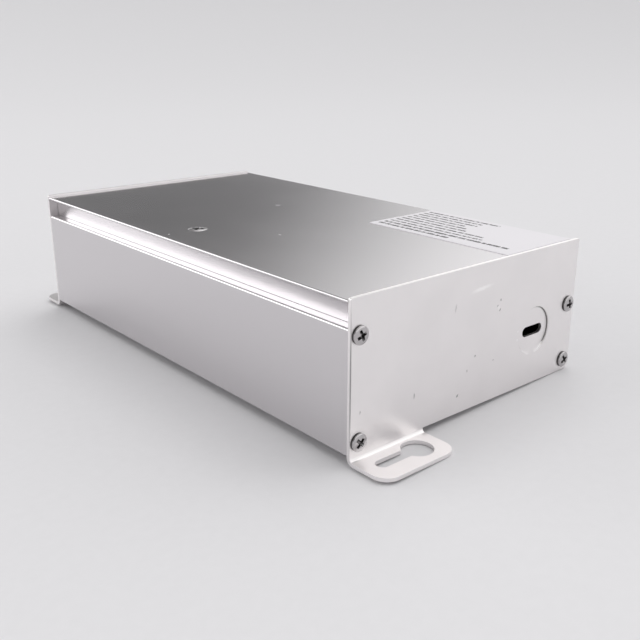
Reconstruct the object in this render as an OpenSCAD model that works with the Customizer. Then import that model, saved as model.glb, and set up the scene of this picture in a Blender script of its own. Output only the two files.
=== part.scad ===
// LED power supply in a two-piece extruded aluminium case.
// Two folded end plates close the case, and each carries a keyhole foot.
// Millimetres, +Z up. The origin is the middle of the footprint, at the feet's undersides.
// The feet stand on the -X side, and the front end plate faces -Y.

/* [Case] */
// Width of the case and of its end plates
case_w = 140; // [134:0.5:160]
// Length of the base extrusion between the end plates
case_l = 255; // [245:1:300]
// Height of an end plate above its fold
plate_h = 62.9; // [60:0.1:72]
// Sheet thickness of the end plates
plate_t = 1.6; // [1.3:0.1:2.2]
// Radius of an end plate's free lower corner
plate_low_r = 3; // [1:0.1:3.5]
// Radius of an end plate's upper corners
plate_top_r = 0.8; // [0.4:0.1:2]

/* [Base extrusion] */
// Thickness of the side walls
wall_t = 2; // [1.6:0.1:2.6]
// Thickness of the floor
floor_t = 2.2; // [1.6:0.1:2.8]
// Thickness of the shelves
shelf_t = 2; // [1.6:0.1:3]
// Radius of a shelf's outer edge
shelf_edge_r = 1.1; // [0.5:0.1:1.4]
// Radius of the base's lower edges
base_edge_r = 0.8; // [0.4:0.1:1.4]
// Thickness of the hooks that hold the lid down
hook_t = 1.4; // [1.2:0.1:2]
// Space between a hook's tip and the lid's flange
hook_gap = 0.4; // [0.3:0.1:0.8]
// Thickness of the ribs that make the board slots
rib_t = 1.5; // [1.2:0.1:2]
// Reach of those ribs in from the wall
rib_reach = 2.6; // [2:0.1:3]
// Space between the lower screw bosses and the ribs
rib_gap = 1; // [0.6:0.1:1.6]

/* [Lid extrusion] */
// Depth of the groove along each side, under the lid's edge
groove_d = 4.8; // [4:0.1:6]
// Height of that groove, from the shelf to the lid's top
groove_h = 10.7; // [9:0.1:14]
// How far the lid's top lies below the end plates' top edges
lid_drop = 1; // [0.5:0.1:2]
// Thickness of the lid between its flanges
lid_t = 2.6; // [2.6:0.1:3.4]
// Thickness of the lid's overhanging edges, which end in a round nose
lip_t = 1.5; // [1.2:0.1:2.4]
// Thickness of the lid's flanges
flange_t = 1.8; // [1.4:0.1:2.4]
// Reach of the tongues that slide under the hooks
tongue_reach = 2.4; // [1.8:0.1:3.2]
// Thickness of those tongues
tongue_t = 1.4; // [1.2:0.1:2]
// Clearance of the lid's slide, above and below its tongues
slide_fit = 0.1; // [0.1:0.05:0.3]
// Gap between each end of the lid and its end plate
lid_end_gap = 0.3; // [0.3:0.1:1]

/* [Plate screws] */
// Distance of the screws from the sides of the case
screw_inset = 4.5; // [4.2:0.1:5.5]
// Height of the lower screws above the underside of the base
low_screw_h = 5.4; // [5:0.1:7]
// Height of the upper screw on the right-hand side
right_screw_h = 32.8; // [22:0.1:42]
// Bore of the screw bosses
pilot_d = 3.5; // [3:0.1:3.9]
// Wall round that bore
boss_wall = 1; // [0.9:0.1:1.5]
// Slit that opens each boss to the inside
boss_slit = 1; // [0.6:0.1:1.4]
// Clearance holes in the end plates
screw_hole_d = 4.4; // [4.2:0.1:5]
// Diameter of the pan heads
head_d = 7.4; // [6.6:0.1:8]
// Height of the pan heads
head_h = 1.5; // [1.2:0.1:3]
// Depth of the seat that is pressed into the end plate under each head
seat_depth = 0.4; // [0.2:0.1:0.8]
// Reach of that seat's sloping rim around the head
seat_reach = 0.6; // [0.3:0.1:0.7]
// Length under the head
screw_l = 12; // [8:1:16]

/* [Lid screw] */
// Distance from the left side of the case
lid_screw_inset = 20.7; // [19:0.1:26]
// Place along the case, from its middle
lid_screw_y = 2.5; // [-5:0.5:5]
// Diameter of the thread
lid_screw_d = 4; // [3.5:0.1:4.4]
// Diameter of the flat head
lid_head_d = 7.6; // [7:0.1:8.4]
// Diameter of the countersink at the surface
countersink_d = 9.4; // [8.6:0.1:9.6]

/* [Feet] */
// Inner radius of the fold
bend_r = 1.6; // [1.5:0.1:3]
// Width of a foot along the end plate
foot_w = 40; // [36:0.5:50]
// Reach of a foot from the end plate's outer face
foot_l = 19.4; // [18:0.1:28]
// Radius of a foot's corners
foot_corner_r = 7; // [3:0.5:8]
// Width of the keyhole's slot
slot_w = 5.7; // [4.5:0.1:6]
// Centre of the slot's closed end, from the left side
slot_x = 8.9; // [7:0.1:12]
// Diameter of the keyhole's round end
entry_d = 13.3; // [10:0.1:13.4]
// Centre of the round end, from the left side
entry_x = 27.8; // [25:0.1:29]
// Distance of the keyhole from the end plate's outer face
keyhole_out = 8.6; // [8.4:0.1:10]

/* [Knockouts] */
// Diameter of a knockout
knockout_d = 22.2; // [18:0.1:28.2]
// Distance of its centre from the right side
knockout_inset = 29.5; // [24:0.1:34]
// Height of its centre above the end plate's lower edge
knockout_h = 25.4; // [20:0.1:32]
// Depth that the disc is pushed in
knockout_depth = 0.8; // [0.5:0.1:1]
// Length of the pry slot
pry_l = 13.9; // [10:0.1:15]
// Width of the pry slot
pry_w = 4.6; // [4.4:0.1:6]
// Reach of the slope that still ties the disc to the plate, at its foot
tie_reach = 2.4; // [1:0.1:3]
// Rise of that slope's centre above the disc's, which narrows the tie
tie_rise = 15; // [8:0.5:30]

/* [Label] */
// Width of the label across the lid
label_w = 46; // [30:0.5:60]
// Length of the label along the lid
label_l = 85; // [60:0.5:120]
// Thickness of the label
label_t = 0.2; // [0.1:0.05:0.3]
// Distance of the label from the lid's right edge
label_side_gap = 0.8; // [0.5:0.1:4]
// Distance of the label from the lid's front end
label_front_gap = 2; // [1:0.5:10]

/* [Circuit board] */
// Thickness of the circuit board
board_t = 1.6; // [1.2:0.1:2.4]
// Free length for wiring at each end of the case
wiring_room = 20; // [16:0.5:22]
// Clearance above and below the board in its slots
board_fit = 0.15; // [0.1:0.05:0.3]
// Clearance at the board's sides
board_side_fit = 0.3; // [0.2:0.05:0.6]
// Free edge at each end of the board
edge_gap = 1; // [0.5:0.1:3]
// Space between neighbouring components
part_gap = 3; // [2:0.1:3.5]
// Diameter of the component pins
pin_d = 1; // [0.8:0.05:1.2]
// Clearance of a pin in its hole
pin_fit = 0.15; // [0.1:0.05:0.25]
// How far the pins stand out below the board
pin_out = 1.6; // [1:0.1:2.5]
// Thickness of the insulating sheet on the floor
sheet_t = 0.4; // [0.2:0.1:1]
// Diameter of the earth standoff
standoff_d = 6; // [5:0.1:7]
// Diameter of the earth screw
earth_screw_d = 3; // [2.5:0.1:3.5]

/* [Heat spreader] */
// Thickness of the spreader
spreader_t = 3; // [2:0.1:4]
// Free length of the spreader at each end
spreader_end = 1; // [0.5:0.1:6]
// Width of its upper flange
spreader_flange_w = 20; // [18:0.5:24]
// Inner radius of its fold
spreader_bend_r = 2; // [1:0.1:2.5]
// Space between the lid's hook and the spreader
spreader_gap = 2.4; // [1.5:0.1:4]
// Thickness of the thermal pad under the lid
pad_t = 0.5; // [0.3:0.1:1]
// Thickness of the insulator strip behind the semiconductors
strip_t = 0.3; // [0.2:0.05:0.6]
// Width of a transistor or rectifier
device_w = 16; // [14:0.1:17]
// Height of a transistor or rectifier
device_h = 21; // [16:0.5:24]
// Thickness of the semiconductors
device_t = 5; // [4:0.1:5.5]
// Space beside a clamp screw, between two devices
device_clear = 0.75; // [0.5:0.05:2]
// Width of the bridge rectifier
bridge_w = 22; // [18:0.5:24]
// Height of the semiconductors above the board
device_lift = 8; // [5:0.5:12]
// Thickness of the clamp bar
clamp_t = 2; // [1.5:0.1:3]
// Height of the clamp bar
clamp_h = 10; // [8:0.5:14]
// Diameter of the clamp screws
clamp_screw_d = 3; // [2.5:0.1:3.5]

/* [Input side] */
// Pitch of the terminal poles
pole_pitch = 9.5; // [8.5:0.1:10]
// Depth of the terminal blocks
block_d = 16; // [15:0.5:18]
// Height of the terminal blocks
block_h = 18; // [16:0.5:22]
// Length of the fuse
fuse_l = 8.5; // [7:0.5:10]
// Width of the fuse
fuse_w = 7.5; // [5:0.5:8.5]
// Height of the fuse
fuse_h = 8; // [6:0.5:12]
// Diameter of the varistor
varistor_d = 14; // [10:0.5:16]
// Diameter of the inrush thermistor
thermistor_d = 12; // [9:0.5:14]
// Thickness of the varistor, the thermistor and the safety capacitors
disc_t = 4.5; // [3:0.1:6]
// Length of a filter capacitor
x_cap_l = 26; // [22:0.5:28]
// Width of a filter capacitor
x_cap_w = 10; // [8:0.5:12]
// Height of a filter capacitor
x_cap_h = 18; // [14:0.5:22]
// Outer diameter of a filter choke
choke_od = 30; // [27:0.5:32]
// Height of a filter choke
choke_h = 14; // [12:0.5:18]
// Hole of a filter choke
choke_id = 11; // [8:0.5:12]

/* [Conversion] */
// Width of the boost inductor's core
boost_w = 36; // [34:0.5:38]
// Depth of its core
boost_core_d = 22; // [18:0.5:26]
// Height of its core
boost_h = 34; // [30:0.5:38]
// Diameter of a bulk capacitor
bulk_d = 22; // [18:0.5:25]
// Height of a bulk capacitor
bulk_h = 40; // [30:0.5:42]
// Width of the transformer's core
tx_w = 40; // [36:0.5:44]
// Depth of its core
tx_core_d = 28; // [24:0.5:32]
// Height of its core
tx_h = 38; // [34:0.5:42]
// Length of the resonant capacitor
res_cap_l = 26; // [20:0.5:30]
// Width of the resonant capacitor
res_cap_w = 11; // [8:0.5:14]
// Height of the resonant capacitor
res_cap_h = 20; // [14:0.5:26]
// Diameter of a safety capacitor
y_cap_d = 9; // [7:0.5:11]
// Length of the control board
control_l = 42; // [38:0.5:50]
// Height of the control board
control_h = 24; // [20:0.5:30]

/* [Output side] */
// Outer diameter of the output choke
out_choke_od = 28; // [26:0.5:32]
// Height of the output choke
out_choke_h = 15; // [12:0.5:20]
// Hole of the output choke
out_choke_id = 10; // [8:0.5:12]
// Diameter of an output capacitor
out_cap_d = 16; // [12.5:0.5:18]
// Height of an output capacitor
out_cap_h = 25; // [20:0.5:36]
// Length of an optocoupler
opto_l = 6.5; // [6:0.1:7]

/* [Hidden] */
$fn = 48;

// Overshoot of a cut past the face it leaves
cut = 1;
// Overlap of two shapes that are joined in one piece
lap = 0.5;
// Clearance between a thread and its tapped hole
thread_fit = 0.05;
// Clearance between a screw and a plain hole
screw_fit = 0.2;
// Cross recess of a screw, as shares of the head's diameter
recess_span = 0.62;
recess_slot = 0.16;
recess_core = 0.34;
// Depth of that recess, as a share of the head's height
recess_depth = 0.75;
// Straight rim of a pan head, as a share of its height
rim_share = 0.8;
half_w = case_w / 2;

// Levels of the case
case_z = bend_r + plate_t;
lid_top = case_z + plate_h - lid_drop;
lid_under = lid_top - lid_t;
lid_l = case_l - 2 * lid_end_gap;

// Lid slide, in distances from the side of the case and heights above the base's underside
shelf_h = plate_h - lid_drop - groove_h;
tongue_v = shelf_h + slide_fit;
hook_h = slide_fit + tongue_t + slide_fit + hook_t;
hook_u = groove_d + flange_t + tongue_reach + slide_fit;
hook_tip_u = groove_d + flange_t + hook_gap;
shelf_w = hook_u + hook_t;

// Screw bosses and their centres, as X and Z. The left upper boss hangs under its shelf.
boss_r = pilot_d / 2 + boss_wall;
boss_cover = 0.2;
left_screw_h = shelf_h - boss_cover - boss_r;
screw_points = [
    [-half_w + screw_inset, case_z + left_screw_h],
    [-half_w + screw_inset, case_z + low_screw_h],
    [half_w - screw_inset, case_z + right_screw_h],
    [half_w - screw_inset, case_z + low_screw_h],
];
// Turn of each screw's cross recess
screw_turns = [22, 45, 8, 30];
lid_screw_turn = 35;
// How far the lid screw's tip stands out below the spreader
lid_screw_out = 1;

// Knockout and keyhole, and how far inside the disc's edge its tie ends
tie_step = 0.2;
knockout_x = half_w - knockout_inset;
knockout_z = case_z + knockout_h;
keyhole_y = -case_l / 2 - plate_t - keyhole_out;

// Board and its levels
rib_v = low_screw_h + boss_r + rib_gap;
board_v = rib_v + rib_t + board_fit;
board_z = case_z + board_v;
board_top = board_z + board_t;
board_w = case_w - 2 * (wall_t + board_side_fit);
board_l = case_l - 2 * wiring_room;
front_y = -board_l / 2 + edge_gap;
rear_y = board_l / 2 - edge_gap;

// Heat spreader stack, in distances from the left side
spreader_u = shelf_w + spreader_gap;
strip_u = spreader_u + spreader_t;
device_u = strip_u + strip_t;
clamp_u = device_u + device_t;
clamp_head_h = 2.2;
clamp_head_d = 5.6;
stack_u = clamp_u + clamp_t + clamp_head_h;
spreader_top = lid_under - pad_t;
lid_screw_x = -half_w + lid_screw_inset;
device_z = board_top + device_lift;
clamp_z = device_z + device_h / 2;
// Devices in a row along the spreader, the bridge first, with room for a clamp screw beside each
device_count = 6;
device_gap = clamp_screw_d + 2 * device_clear;
device_pitch = device_w + device_gap;
spreader_l = 2 * spreader_end + bridge_w + device_count * device_pitch + device_gap;
bridge_y = -spreader_l / 2 + spreader_end + bridge_w / 2;
first_gap_y = bridge_y + (bridge_w + device_gap) / 2;
function device_y(i) = first_gap_y + (i + 0.5) * device_pitch;
transistor_rows = [0, 1, 2];
rectifier_rows = [3, 4, 5];
clamp_screw_ys = [for (i = [0 : 2 : device_count]) first_gap_y + i * device_pitch];
// Leads of the semiconductors
bridge_leads = 4;
device_leads = 3;
lead_pitch = 5;
// Tabs of the spreader that pass through the board
tab_l = 8;
tab_fit = 0.2;
tab_ys = [-spreader_l / 3, spreader_l / 3];

// Edges of the two columns of components
room_right = half_w - max(shelf_w, screw_inset + boss_r) - part_gap;
mid_left = -half_w + stack_u + part_gap;

// Terminal blocks
in_poles = 3;
out_poles = 4;
block_end = 1.5;
well_d = 6.4;
well_depth = 7;
entry_w = 6;
entry_depth = 9;
entry_low = 2.5;
terminal_screw_d = 3;
terminal_head_d = 5.8;
terminal_head_h = 2.2;
terminal_screw_l = 3;
block_pin_inset = 3;
function block_w(poles) = poles * pole_pitch + 2 * block_end;
in_block = [room_right - block_w(in_poles) / 2, front_y + block_d / 2];
out_block = [room_right - block_w(out_poles) / 2, rear_y - block_d / 2];

// Wound parts
wire_t = 2;
wire_fit = 0.1;
core_fit = 0.15;
bobbin_t = 1;
rail = 5;
core_lift = 1;
yoke_t = 6;
side_t = 4.5;
leg_d = 13;
rail_pins = 4;
rail_pitch = 5;
ring_pin_side = 3;
// Angles that the toroids' windings cover
choke_angle = 140;
out_choke_angle = 320;
function wound_depth(core_d) = core_d + 2 * (core_fit + rail);
boost_depth = wound_depth(boost_core_d);
tx_depth = wound_depth(tx_core_d);

// Right-hand column, from the front and from the rear
choke_1 = [room_right - choke_od / 2, front_y + block_d + part_gap + choke_od / 2];
boost = [room_right - boost_w / 2, choke_1.y + choke_od / 2 + part_gap + boost_depth / 2];
bulk_1 = [room_right - bulk_d / 2, boost.y + boost_depth / 2 + part_gap + bulk_d / 2];
bulk_2 = bulk_1 + [0, bulk_d + part_gap];
out_choke = [room_right - out_choke_od / 2, rear_y - block_d - part_gap - out_choke_od / 2];

// Middle column, from the front
varistor_at = [mid_left + varistor_d / 2, front_y + disc_t / 2];
thermistor_at = varistor_at + [(varistor_d + thermistor_d) / 2 + part_gap, 0];
fuse_at = [thermistor_at.x + (thermistor_d + fuse_l) / 2 + part_gap, front_y + fuse_w / 2];
second_row = front_y + max(fuse_w, disc_t) + part_gap;
x_cap_1 = [mid_left + x_cap_l / 2, second_row + x_cap_w / 2];
x_cap_2 = x_cap_1 + [0, x_cap_w + part_gap];
y_cap_1 = [mid_left + x_cap_l + part_gap + y_cap_d / 2, second_row + disc_t / 2];
y_cap_2 = y_cap_1 + [0, disc_t + part_gap];
third_row = second_row + max(2 * x_cap_w, 2 * disc_t) + 2 * part_gap;
choke_2 = [mid_left + choke_od / 2, third_row + choke_od / 2];
res_cap = [mid_left + choke_od + part_gap + res_cap_w / 2, third_row + res_cap_l / 2];
fourth_row = third_row + max(choke_od, res_cap_l) + part_gap;
// Control board, standing beside the transformer
chip_l = 10;
chip_h = 6;
chip_t = 1.8;
chip_gap = 2.5;
control_t = 1.6;
control_pin_count = 8;
control_pitch = 5;
control = [mid_left + chip_t + control_t / 2, fourth_row + control_l / 2];
tx = [control.x + control_t / 2 + part_gap + tx_w / 2, fourth_row + tx_depth / 2];

// Middle column, from the rear
opto_w = 4.6;
opto_h = 3.5;
opto_lift = 0.5;
opto_count = 3;
opto_pitch = 2.5;
opto_row = 2;
out_cap_cols = 2;
out_cap_rows = 3;
out_cap_gap = 2;
out_cap_pitch = out_cap_d + out_cap_gap;
optos = [for (i = [0 : opto_count - 1])
    [mid_left + opto_w / 2 + i * (opto_w + part_gap), rear_y - opto_l / 2]];
out_caps = [for (i = [0 : out_cap_cols - 1], j = [0 : out_cap_rows - 1])
    [mid_left + out_cap_d / 2 + i * out_cap_pitch,
     rear_y - max(block_d, opto_l) - part_gap - out_cap_d / 2 - j * out_cap_pitch]];

// Crimp near the foot of an electrolytic can
crimp_d = 2;
crimp_z = 3;
crimp_out = 0.4;

// Earth point, at the board's front left corner
earth_head_d = 5.6;
earth_head_h = 2;
standoff_floor = 2;
sheet_fit = 0.5;
earth_at = [-half_w + spreader_u, front_y + standoff_d];

// Lead spacings, and how far a lead reaches into its part
box_lead_inset = 1.75;
disc_pitch = 5;
varistor_pitch = 7.5;
bulk_pitch = 10;
out_cap_lead_pitch = 7.5;
pin_root = 1;
disc_lift = 1;
disc_root = 4;

// Pins of each component, as X and Y
function pair(at, pitch) = [at - [pitch / 2, 0], at + [pitch / 2, 0]];
function row(at, count, pitch) =
    [for (i = [0 : count - 1]) at + [0, (i - (count - 1) / 2) * pitch]];
function line(at, count, pitch) =
    [for (i = [0 : count - 1]) at + [(i - (count - 1) / 2) * pitch, 0]];
function rail_y(core_d) = core_d / 2 + core_fit + rail / 2;
function rails(at, core_d) =
    [for (side = [-1, 1]) each line(at + [0, side * rail_y(core_d)], rail_pins, rail_pitch)];
function ring_pins(at, od) = [for (sx = [-1, 1], sy = [-1, 1])
    at + [sx * (od / 2 - wire_t), sy * ring_pin_side]];
fuse_pins = pair(fuse_at, fuse_l - 2 * box_lead_inset);
varistor_pins = pair(varistor_at, varistor_pitch);
thermistor_pins = pair(thermistor_at, disc_pitch);
y_cap_pins = [for (at = [y_cap_1, y_cap_2]) each pair(at, disc_pitch)];
x_cap_pins = [for (at = [x_cap_1, x_cap_2]) each pair(at, x_cap_l - 2 * box_lead_inset)];
res_cap_pins = row(res_cap, 2, res_cap_l - 2 * box_lead_inset);
choke_pins = concat(ring_pins(choke_1, choke_od), ring_pins(choke_2, choke_od));
out_choke_pins = ring_pins(out_choke, out_choke_od);
boost_pins = rails(boost, boost_core_d);
tx_pins = rails(tx, tx_core_d);
bulk_pins = [for (at = [bulk_1, bulk_2]) each pair(at, bulk_pitch)];
out_cap_pins = [for (at = out_caps) each pair(at, out_cap_lead_pitch)];
opto_pins = [for (at = optos, side = [-1, 1]) each pair(at + [0, side * opto_row], opto_pitch)];
control_pins = row(control, control_pin_count, control_pitch);
device_x = -half_w + device_u + device_t / 2;
function device_pins(i) = row([device_x, device_y(i)], device_leads, lead_pitch);
bridge_pins = row([device_x, bridge_y], bridge_leads, lead_pitch);
transistor_pins = [for (i = transistor_rows) each device_pins(i)];
rectifier_pins = [for (i = rectifier_rows) each device_pins(i)];
block_pin_y = block_d / 2 - block_pin_inset;
in_block_pins = line(in_block + [0, block_pin_y], in_poles, pole_pitch);
out_block_pins = line(out_block - [0, block_pin_y], out_poles, pole_pitch);
board_pins = concat(
    fuse_pins, varistor_pins, thermistor_pins, y_cap_pins, x_cap_pins, res_cap_pins,
    choke_pins, out_choke_pins, boost_pins, tx_pins, bulk_pins, out_cap_pins, opto_pins,
    control_pins, bridge_pins, transistor_pins, rectifier_pins, in_block_pins, out_block_pins);

// Colours
aluminium = "#d4d4d2";
steel = "#b3b1ab";
copper = "#a8562b";
ferrite = "#3b3a3a";

// Shared placing and shapes

// Runs a profile in X and Z along the case
module along_case(length) {
    rotate([90, 0, 0]) linear_extrude(length, center = true) children();
}

// Runs a section along one side of the case, drawn from its outer face and the base's underside
module along_side(side, length) {
    mirror([side > 0 ? 1 : 0, 0, 0]) along_case(length) translate([-half_w, case_z]) children();
}

// Local X and Y lie in the front end of the base, and local Z leaves it
module on_front() {
    translate([0, -case_l / 2, 0]) rotate([90, 0, 0]) children();
}

// Takes a rounded corner off an outline, from the corner at the origin inwards
module corner_cut(r) {
    difference() {
        translate([-cut, -cut]) square(r + cut);
        translate([r, r]) circle(r);
    }
}

// Slot outline with round ends, centred
module slot_outline(length, width) {
    square([length - width, width], center = true);
    for (side = [-1, 1]) translate([side * (length - width) / 2, 0]) circle(d = width);
}

// Sheet section with one fold: one leg goes up from the origin, the other goes right from its top
module folded_section(up, across, t, r) {
    square([t, up - t - r]);
    translate([t + r, up - t]) square([across - t - r, t]);
    translate([t + r, up - t - r]) intersection() {
        difference() {
            circle(t + r);
            circle(r);
        }
        translate([-t - r, 0]) square(t + r);
    }
}

// Pan head with a low crown, standing on the plane Z = 0
module pan_head(d, h) {
    crown_h = h * (1 - rim_share);
    crown_r = (d * d / 4 + crown_h * crown_h) / (2 * crown_h);
    rotate_extrude() intersection() {
        square([d / 2, h]);
        translate([0, h - crown_r]) circle(crown_r);
    }
}

// Cross recess, cut down from the plane Z = 0
module cross_recess(d, depth) {
    span = d * recess_span;
    width = d * recess_slot;
    core_d = d * recess_core;
    for (turn = [0, 90]) rotate(turn)
        translate([-span / 2, -width / 2, -depth]) cube([span, width, depth + cut]);
    translate([0, 0, -depth]) cylinder(d1 = width, d2 = core_d, h = depth);
    cylinder(d = core_d, h = cut);
}

// Pan-head screw, with its head on the plane Z = 0 and its shank below
module pan_screw(head_d, head_h, shank_d, length) {
    difference() {
        pan_head(head_d, head_h);
        translate([0, 0, head_h]) cross_recess(head_d, head_h * recess_depth);
    }
    translate([0, 0, -length]) cylinder(d = shank_d, h = length + lap);
}

// Wire pins that pass through the board and end inside the part above it
module pins(points, reach) {
    for (at = points) translate([at.x, at.y, board_z - pin_out])
        cylinder(d = pin_d, h = pin_out + board_t + reach);
}

// Moves a shape to a place on top of the board
module on_board(at, lift = 0) {
    translate([at.x, at.y, board_top + lift]) children();
}

// Electrolytic can, with the crimp near its foot
module can(d, h) {
    difference() {
        cylinder(d = d, h = h);
        translate([0, 0, crimp_z]) rotate_extrude()
            translate([d / 2 + crimp_out, 0]) circle(d = crimp_d);
    }
}

// Upright disc component
module disc(d) {
    translate([0, disc_t / 2, d / 2]) rotate([90, 0, 0]) cylinder(d = d, h = disc_t);
}

// Ring section of a wound toroid, as radius and height
module ring_section(od, id, h) {
    translate([id / 2, 0]) square([(od - id) / 2, h]);
}

// Toroid core inside its windings
module toroid_core(od, id, h) {
    inset = wire_t + wire_fit;
    translate([0, 0, inset]) rotate_extrude()
        ring_section(od - 2 * inset, id + 2 * inset, h - 2 * inset);
}

// Winding that wraps a toroid over an angle, centred on the X axis
module toroid_winding(od, id, h, angle) {
    rotate(-angle / 2) rotate_extrude(angle = angle) difference() {
        ring_section(od, id, h);
        translate([0, wire_t]) ring_section(od - 2 * wire_t, id + 2 * wire_t, h - 2 * wire_t);
    }
}

// Two E-shaped core halves closed round a bobbin
module wound_core(w, d, h) {
    for (z = [0, h - yoke_t]) translate([-w / 2, -d / 2, z]) cube([w, d, yoke_t]);
    for (side = [-1, 1]) translate([side * (w - side_t) / 2, 0, h / 2])
        cube([side_t, d, h], center = true);
    cylinder(d = leg_d, h = h);
}

// Bobbin with square flanges and two pin rails
module wound_bobbin(w, d, h) {
    flange_x = w - 2 * (side_t + core_fit);
    low = yoke_t + core_fit;
    high = h - yoke_t - core_fit - bobbin_t;
    difference() {
        union() {
            for (z = [low, high]) translate([-flange_x / 2, -wound_depth(d) / 2, z])
                cube([flange_x, wound_depth(d), bobbin_t]);
            translate([0, 0, low]) cylinder(d = leg_d + 2 * (core_fit + bobbin_t), h = high - low);
            for (side = [-1, 1]) translate([-flange_x / 2, side * rail_y(d) - rail / 2, -core_lift])
                cube([flange_x, rail, low + bobbin_t + core_lift]);
        }
        cylinder(d = leg_d + 2 * core_fit, h = h);
    }
}

// Layers of wire between the bobbin's flanges
module wound_wire(w, h) {
    wire_fit_z = yoke_t + core_fit + bobbin_t + wire_fit;
    translate([0, 0, wire_fit_z]) difference() {
        cylinder(d = w - 2 * (side_t + core_fit + wire_fit), h = h - 2 * wire_fit_z);
        translate([0, 0, -cut])
            cylinder(d = leg_d + 2 * (core_fit + bobbin_t + wire_fit), h = h - 2 * wire_fit_z + 2 * cut);
    }
}

// Semiconductor package against the insulator strip
module device(y, w) {
    translate([-half_w + device_u, y - w / 2, device_z]) cube([device_t, w, device_h]);
}

// Terminal block, with its wire entries facing -Y
module terminal_block(poles) {
    difference() {
        translate([-block_w(poles) / 2, -block_d / 2, 0]) cube([block_w(poles), block_d, block_h]);
        for (at = line([0, 0], poles, pole_pitch)) translate([at.x, -block_d / 2, 0]) {
            translate([-entry_w / 2, -cut, entry_low]) cube([entry_w, entry_depth + cut, entry_w]);
            translate([0, entry_depth / 2, 0]) {
                translate([0, 0, block_h - well_depth]) cylinder(d = well_d, h = well_depth + cut);
                translate([0, 0, entry_low]) cylinder(d = terminal_screw_d + 2 * screw_fit, h = block_h);
            }
        }
    }
}

// Screws that stand in the wells of a terminal block
module terminal_screws(poles) {
    for (at = line([0, 0], poles, pole_pitch))
        translate([at.x, -block_d / 2 + entry_depth / 2, block_h - well_depth])
            pan_screw(terminal_head_d, terminal_head_h, terminal_screw_d, terminal_screw_l);
}

// Case

// Section of one wall with its shelf, hook and board slot
module wall_section() {
    square([wall_t, shelf_h - shelf_edge_r]);
    translate([shelf_edge_r, shelf_h - shelf_edge_r]) circle(shelf_edge_r);
    translate([shelf_edge_r, shelf_h - shelf_t]) square([shelf_w - shelf_edge_r, shelf_t]);
    translate([hook_u, shelf_h - shelf_t]) square([hook_t, shelf_t + hook_h]);
    translate([hook_tip_u, shelf_h + hook_h - hook_t]) square([shelf_w - hook_tip_u, hook_t]);
    for (v = [rib_v, board_v + board_t + board_fit])
        translate([0, v]) square([wall_t + rib_reach, rib_t]);
}

// Section of a screw boss on its wall, with its pad from one height to another
module boss_section(v, low, high) {
    translate([screw_inset, v]) circle(boss_r);
    translate([wall_t / 2, low]) square([screw_inset - wall_t / 2, high - low]);
}

// Bore of a screw boss, and the slit that opens it to the inside
module bore_section(v) {
    translate([screw_inset, v]) circle(d = pilot_d);
    translate([screw_inset, v - boss_slit / 2]) square([boss_r + cut, boss_slit]);
}

module base_channel() {
    color(aluminium) difference() {
        union() {
            along_case(case_l) translate([-half_w, case_z]) square([case_w, floor_t]);
            for (side = [-1, 1]) {
                along_side(side, case_l) wall_section();
                along_side(side, case_l) boss_section(low_screw_h, floor_t / 2, low_screw_h + boss_r);
            }
            along_side(-1, case_l)
                boss_section(left_screw_h, left_screw_h - boss_r, shelf_h - shelf_t / 2);
            along_side(1, case_l)
                boss_section(right_screw_h, right_screw_h - boss_r, right_screw_h + boss_r);
        }
        for (side = [-1, 1], v = [low_screw_h, side < 0 ? left_screw_h : right_screw_h])
            along_side(side, case_l + 2 * cut) bore_section(v);
        for (side = [-1, 1]) along_side(side, case_l + 2 * cut) corner_cut(base_edge_r);
    }
}

// Section of the lid's top, with the round noses that overhang the grooves
module lip_section() {
    nose_x = half_w - lip_t / 2;
    translate([-nose_x, lid_top - lip_t]) square([2 * nose_x, lip_t]);
    for (side = [-1, 1]) translate([side * nose_x, lid_top - lip_t / 2]) circle(d = lip_t);
}

// Section of one side of the lid, with its flange and tongue
module flange_section() {
    translate([groove_d, tongue_v]) {
        square([flange_t, lid_under - case_z - tongue_v + lid_t / 2]);
        square([flange_t + tongue_reach, tongue_t]);
    }
}

module lid() {
    hole_d = lid_screw_d + 2 * screw_fit;
    sink = (countersink_d - hole_d) / 2;
    color(aluminium) difference() {
        union() {
            along_case(lid_l) lip_section();
            along_case(lid_l) translate([-half_w + groove_d, lid_under])
                square([case_w - 2 * groove_d, lid_t]);
            for (side = [-1, 1]) along_side(side, lid_l) flange_section();
        }
        translate([lid_screw_x, lid_screw_y, lid_top]) {
            translate([0, 0, -lid_t - cut]) cylinder(d = hole_d, h = lid_t + 2 * cut);
            translate([0, 0, -sink]) cylinder(d1 = hole_d, d2 = countersink_d, h = sink);
        }
    }
}

module plate_outline() {
    difference() {
        translate([-half_w, case_z]) square([case_w, plate_h]);
        translate([half_w, case_z]) mirror([1, 0]) corner_cut(plate_low_r);
        for (side = [-1, 1]) translate([side * half_w, case_z + plate_h])
            mirror([side > 0 ? 1 : 0, 0]) mirror([0, 1]) corner_cut(plate_top_r);
    }
}

// Keyhole seen from above, in the front foot
module keyhole_outline() {
    translate([-half_w, keyhole_y]) {
        translate([entry_x, 0]) circle(d = entry_d);
        translate([slot_x, 0]) circle(d = slot_w);
        translate([slot_x, -slot_w / 2]) square([entry_x - slot_x, slot_w]);
    }
}

// What a knockout's punch sinks, from its disc's face outwards. The tie at its foot stays, as a slope.
module knockout_recess() {
    high = knockout_depth + cut;
    foot_r = knockout_d / 2 + tie_rise - tie_reach - tie_step;
    intersection() {
        cylinder(d = knockout_d, h = high);
        translate([0, tie_rise, 0])
            cylinder(r1 = foot_r, r2 = foot_r + tie_reach * high / knockout_depth, h = high);
    }
}

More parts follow.
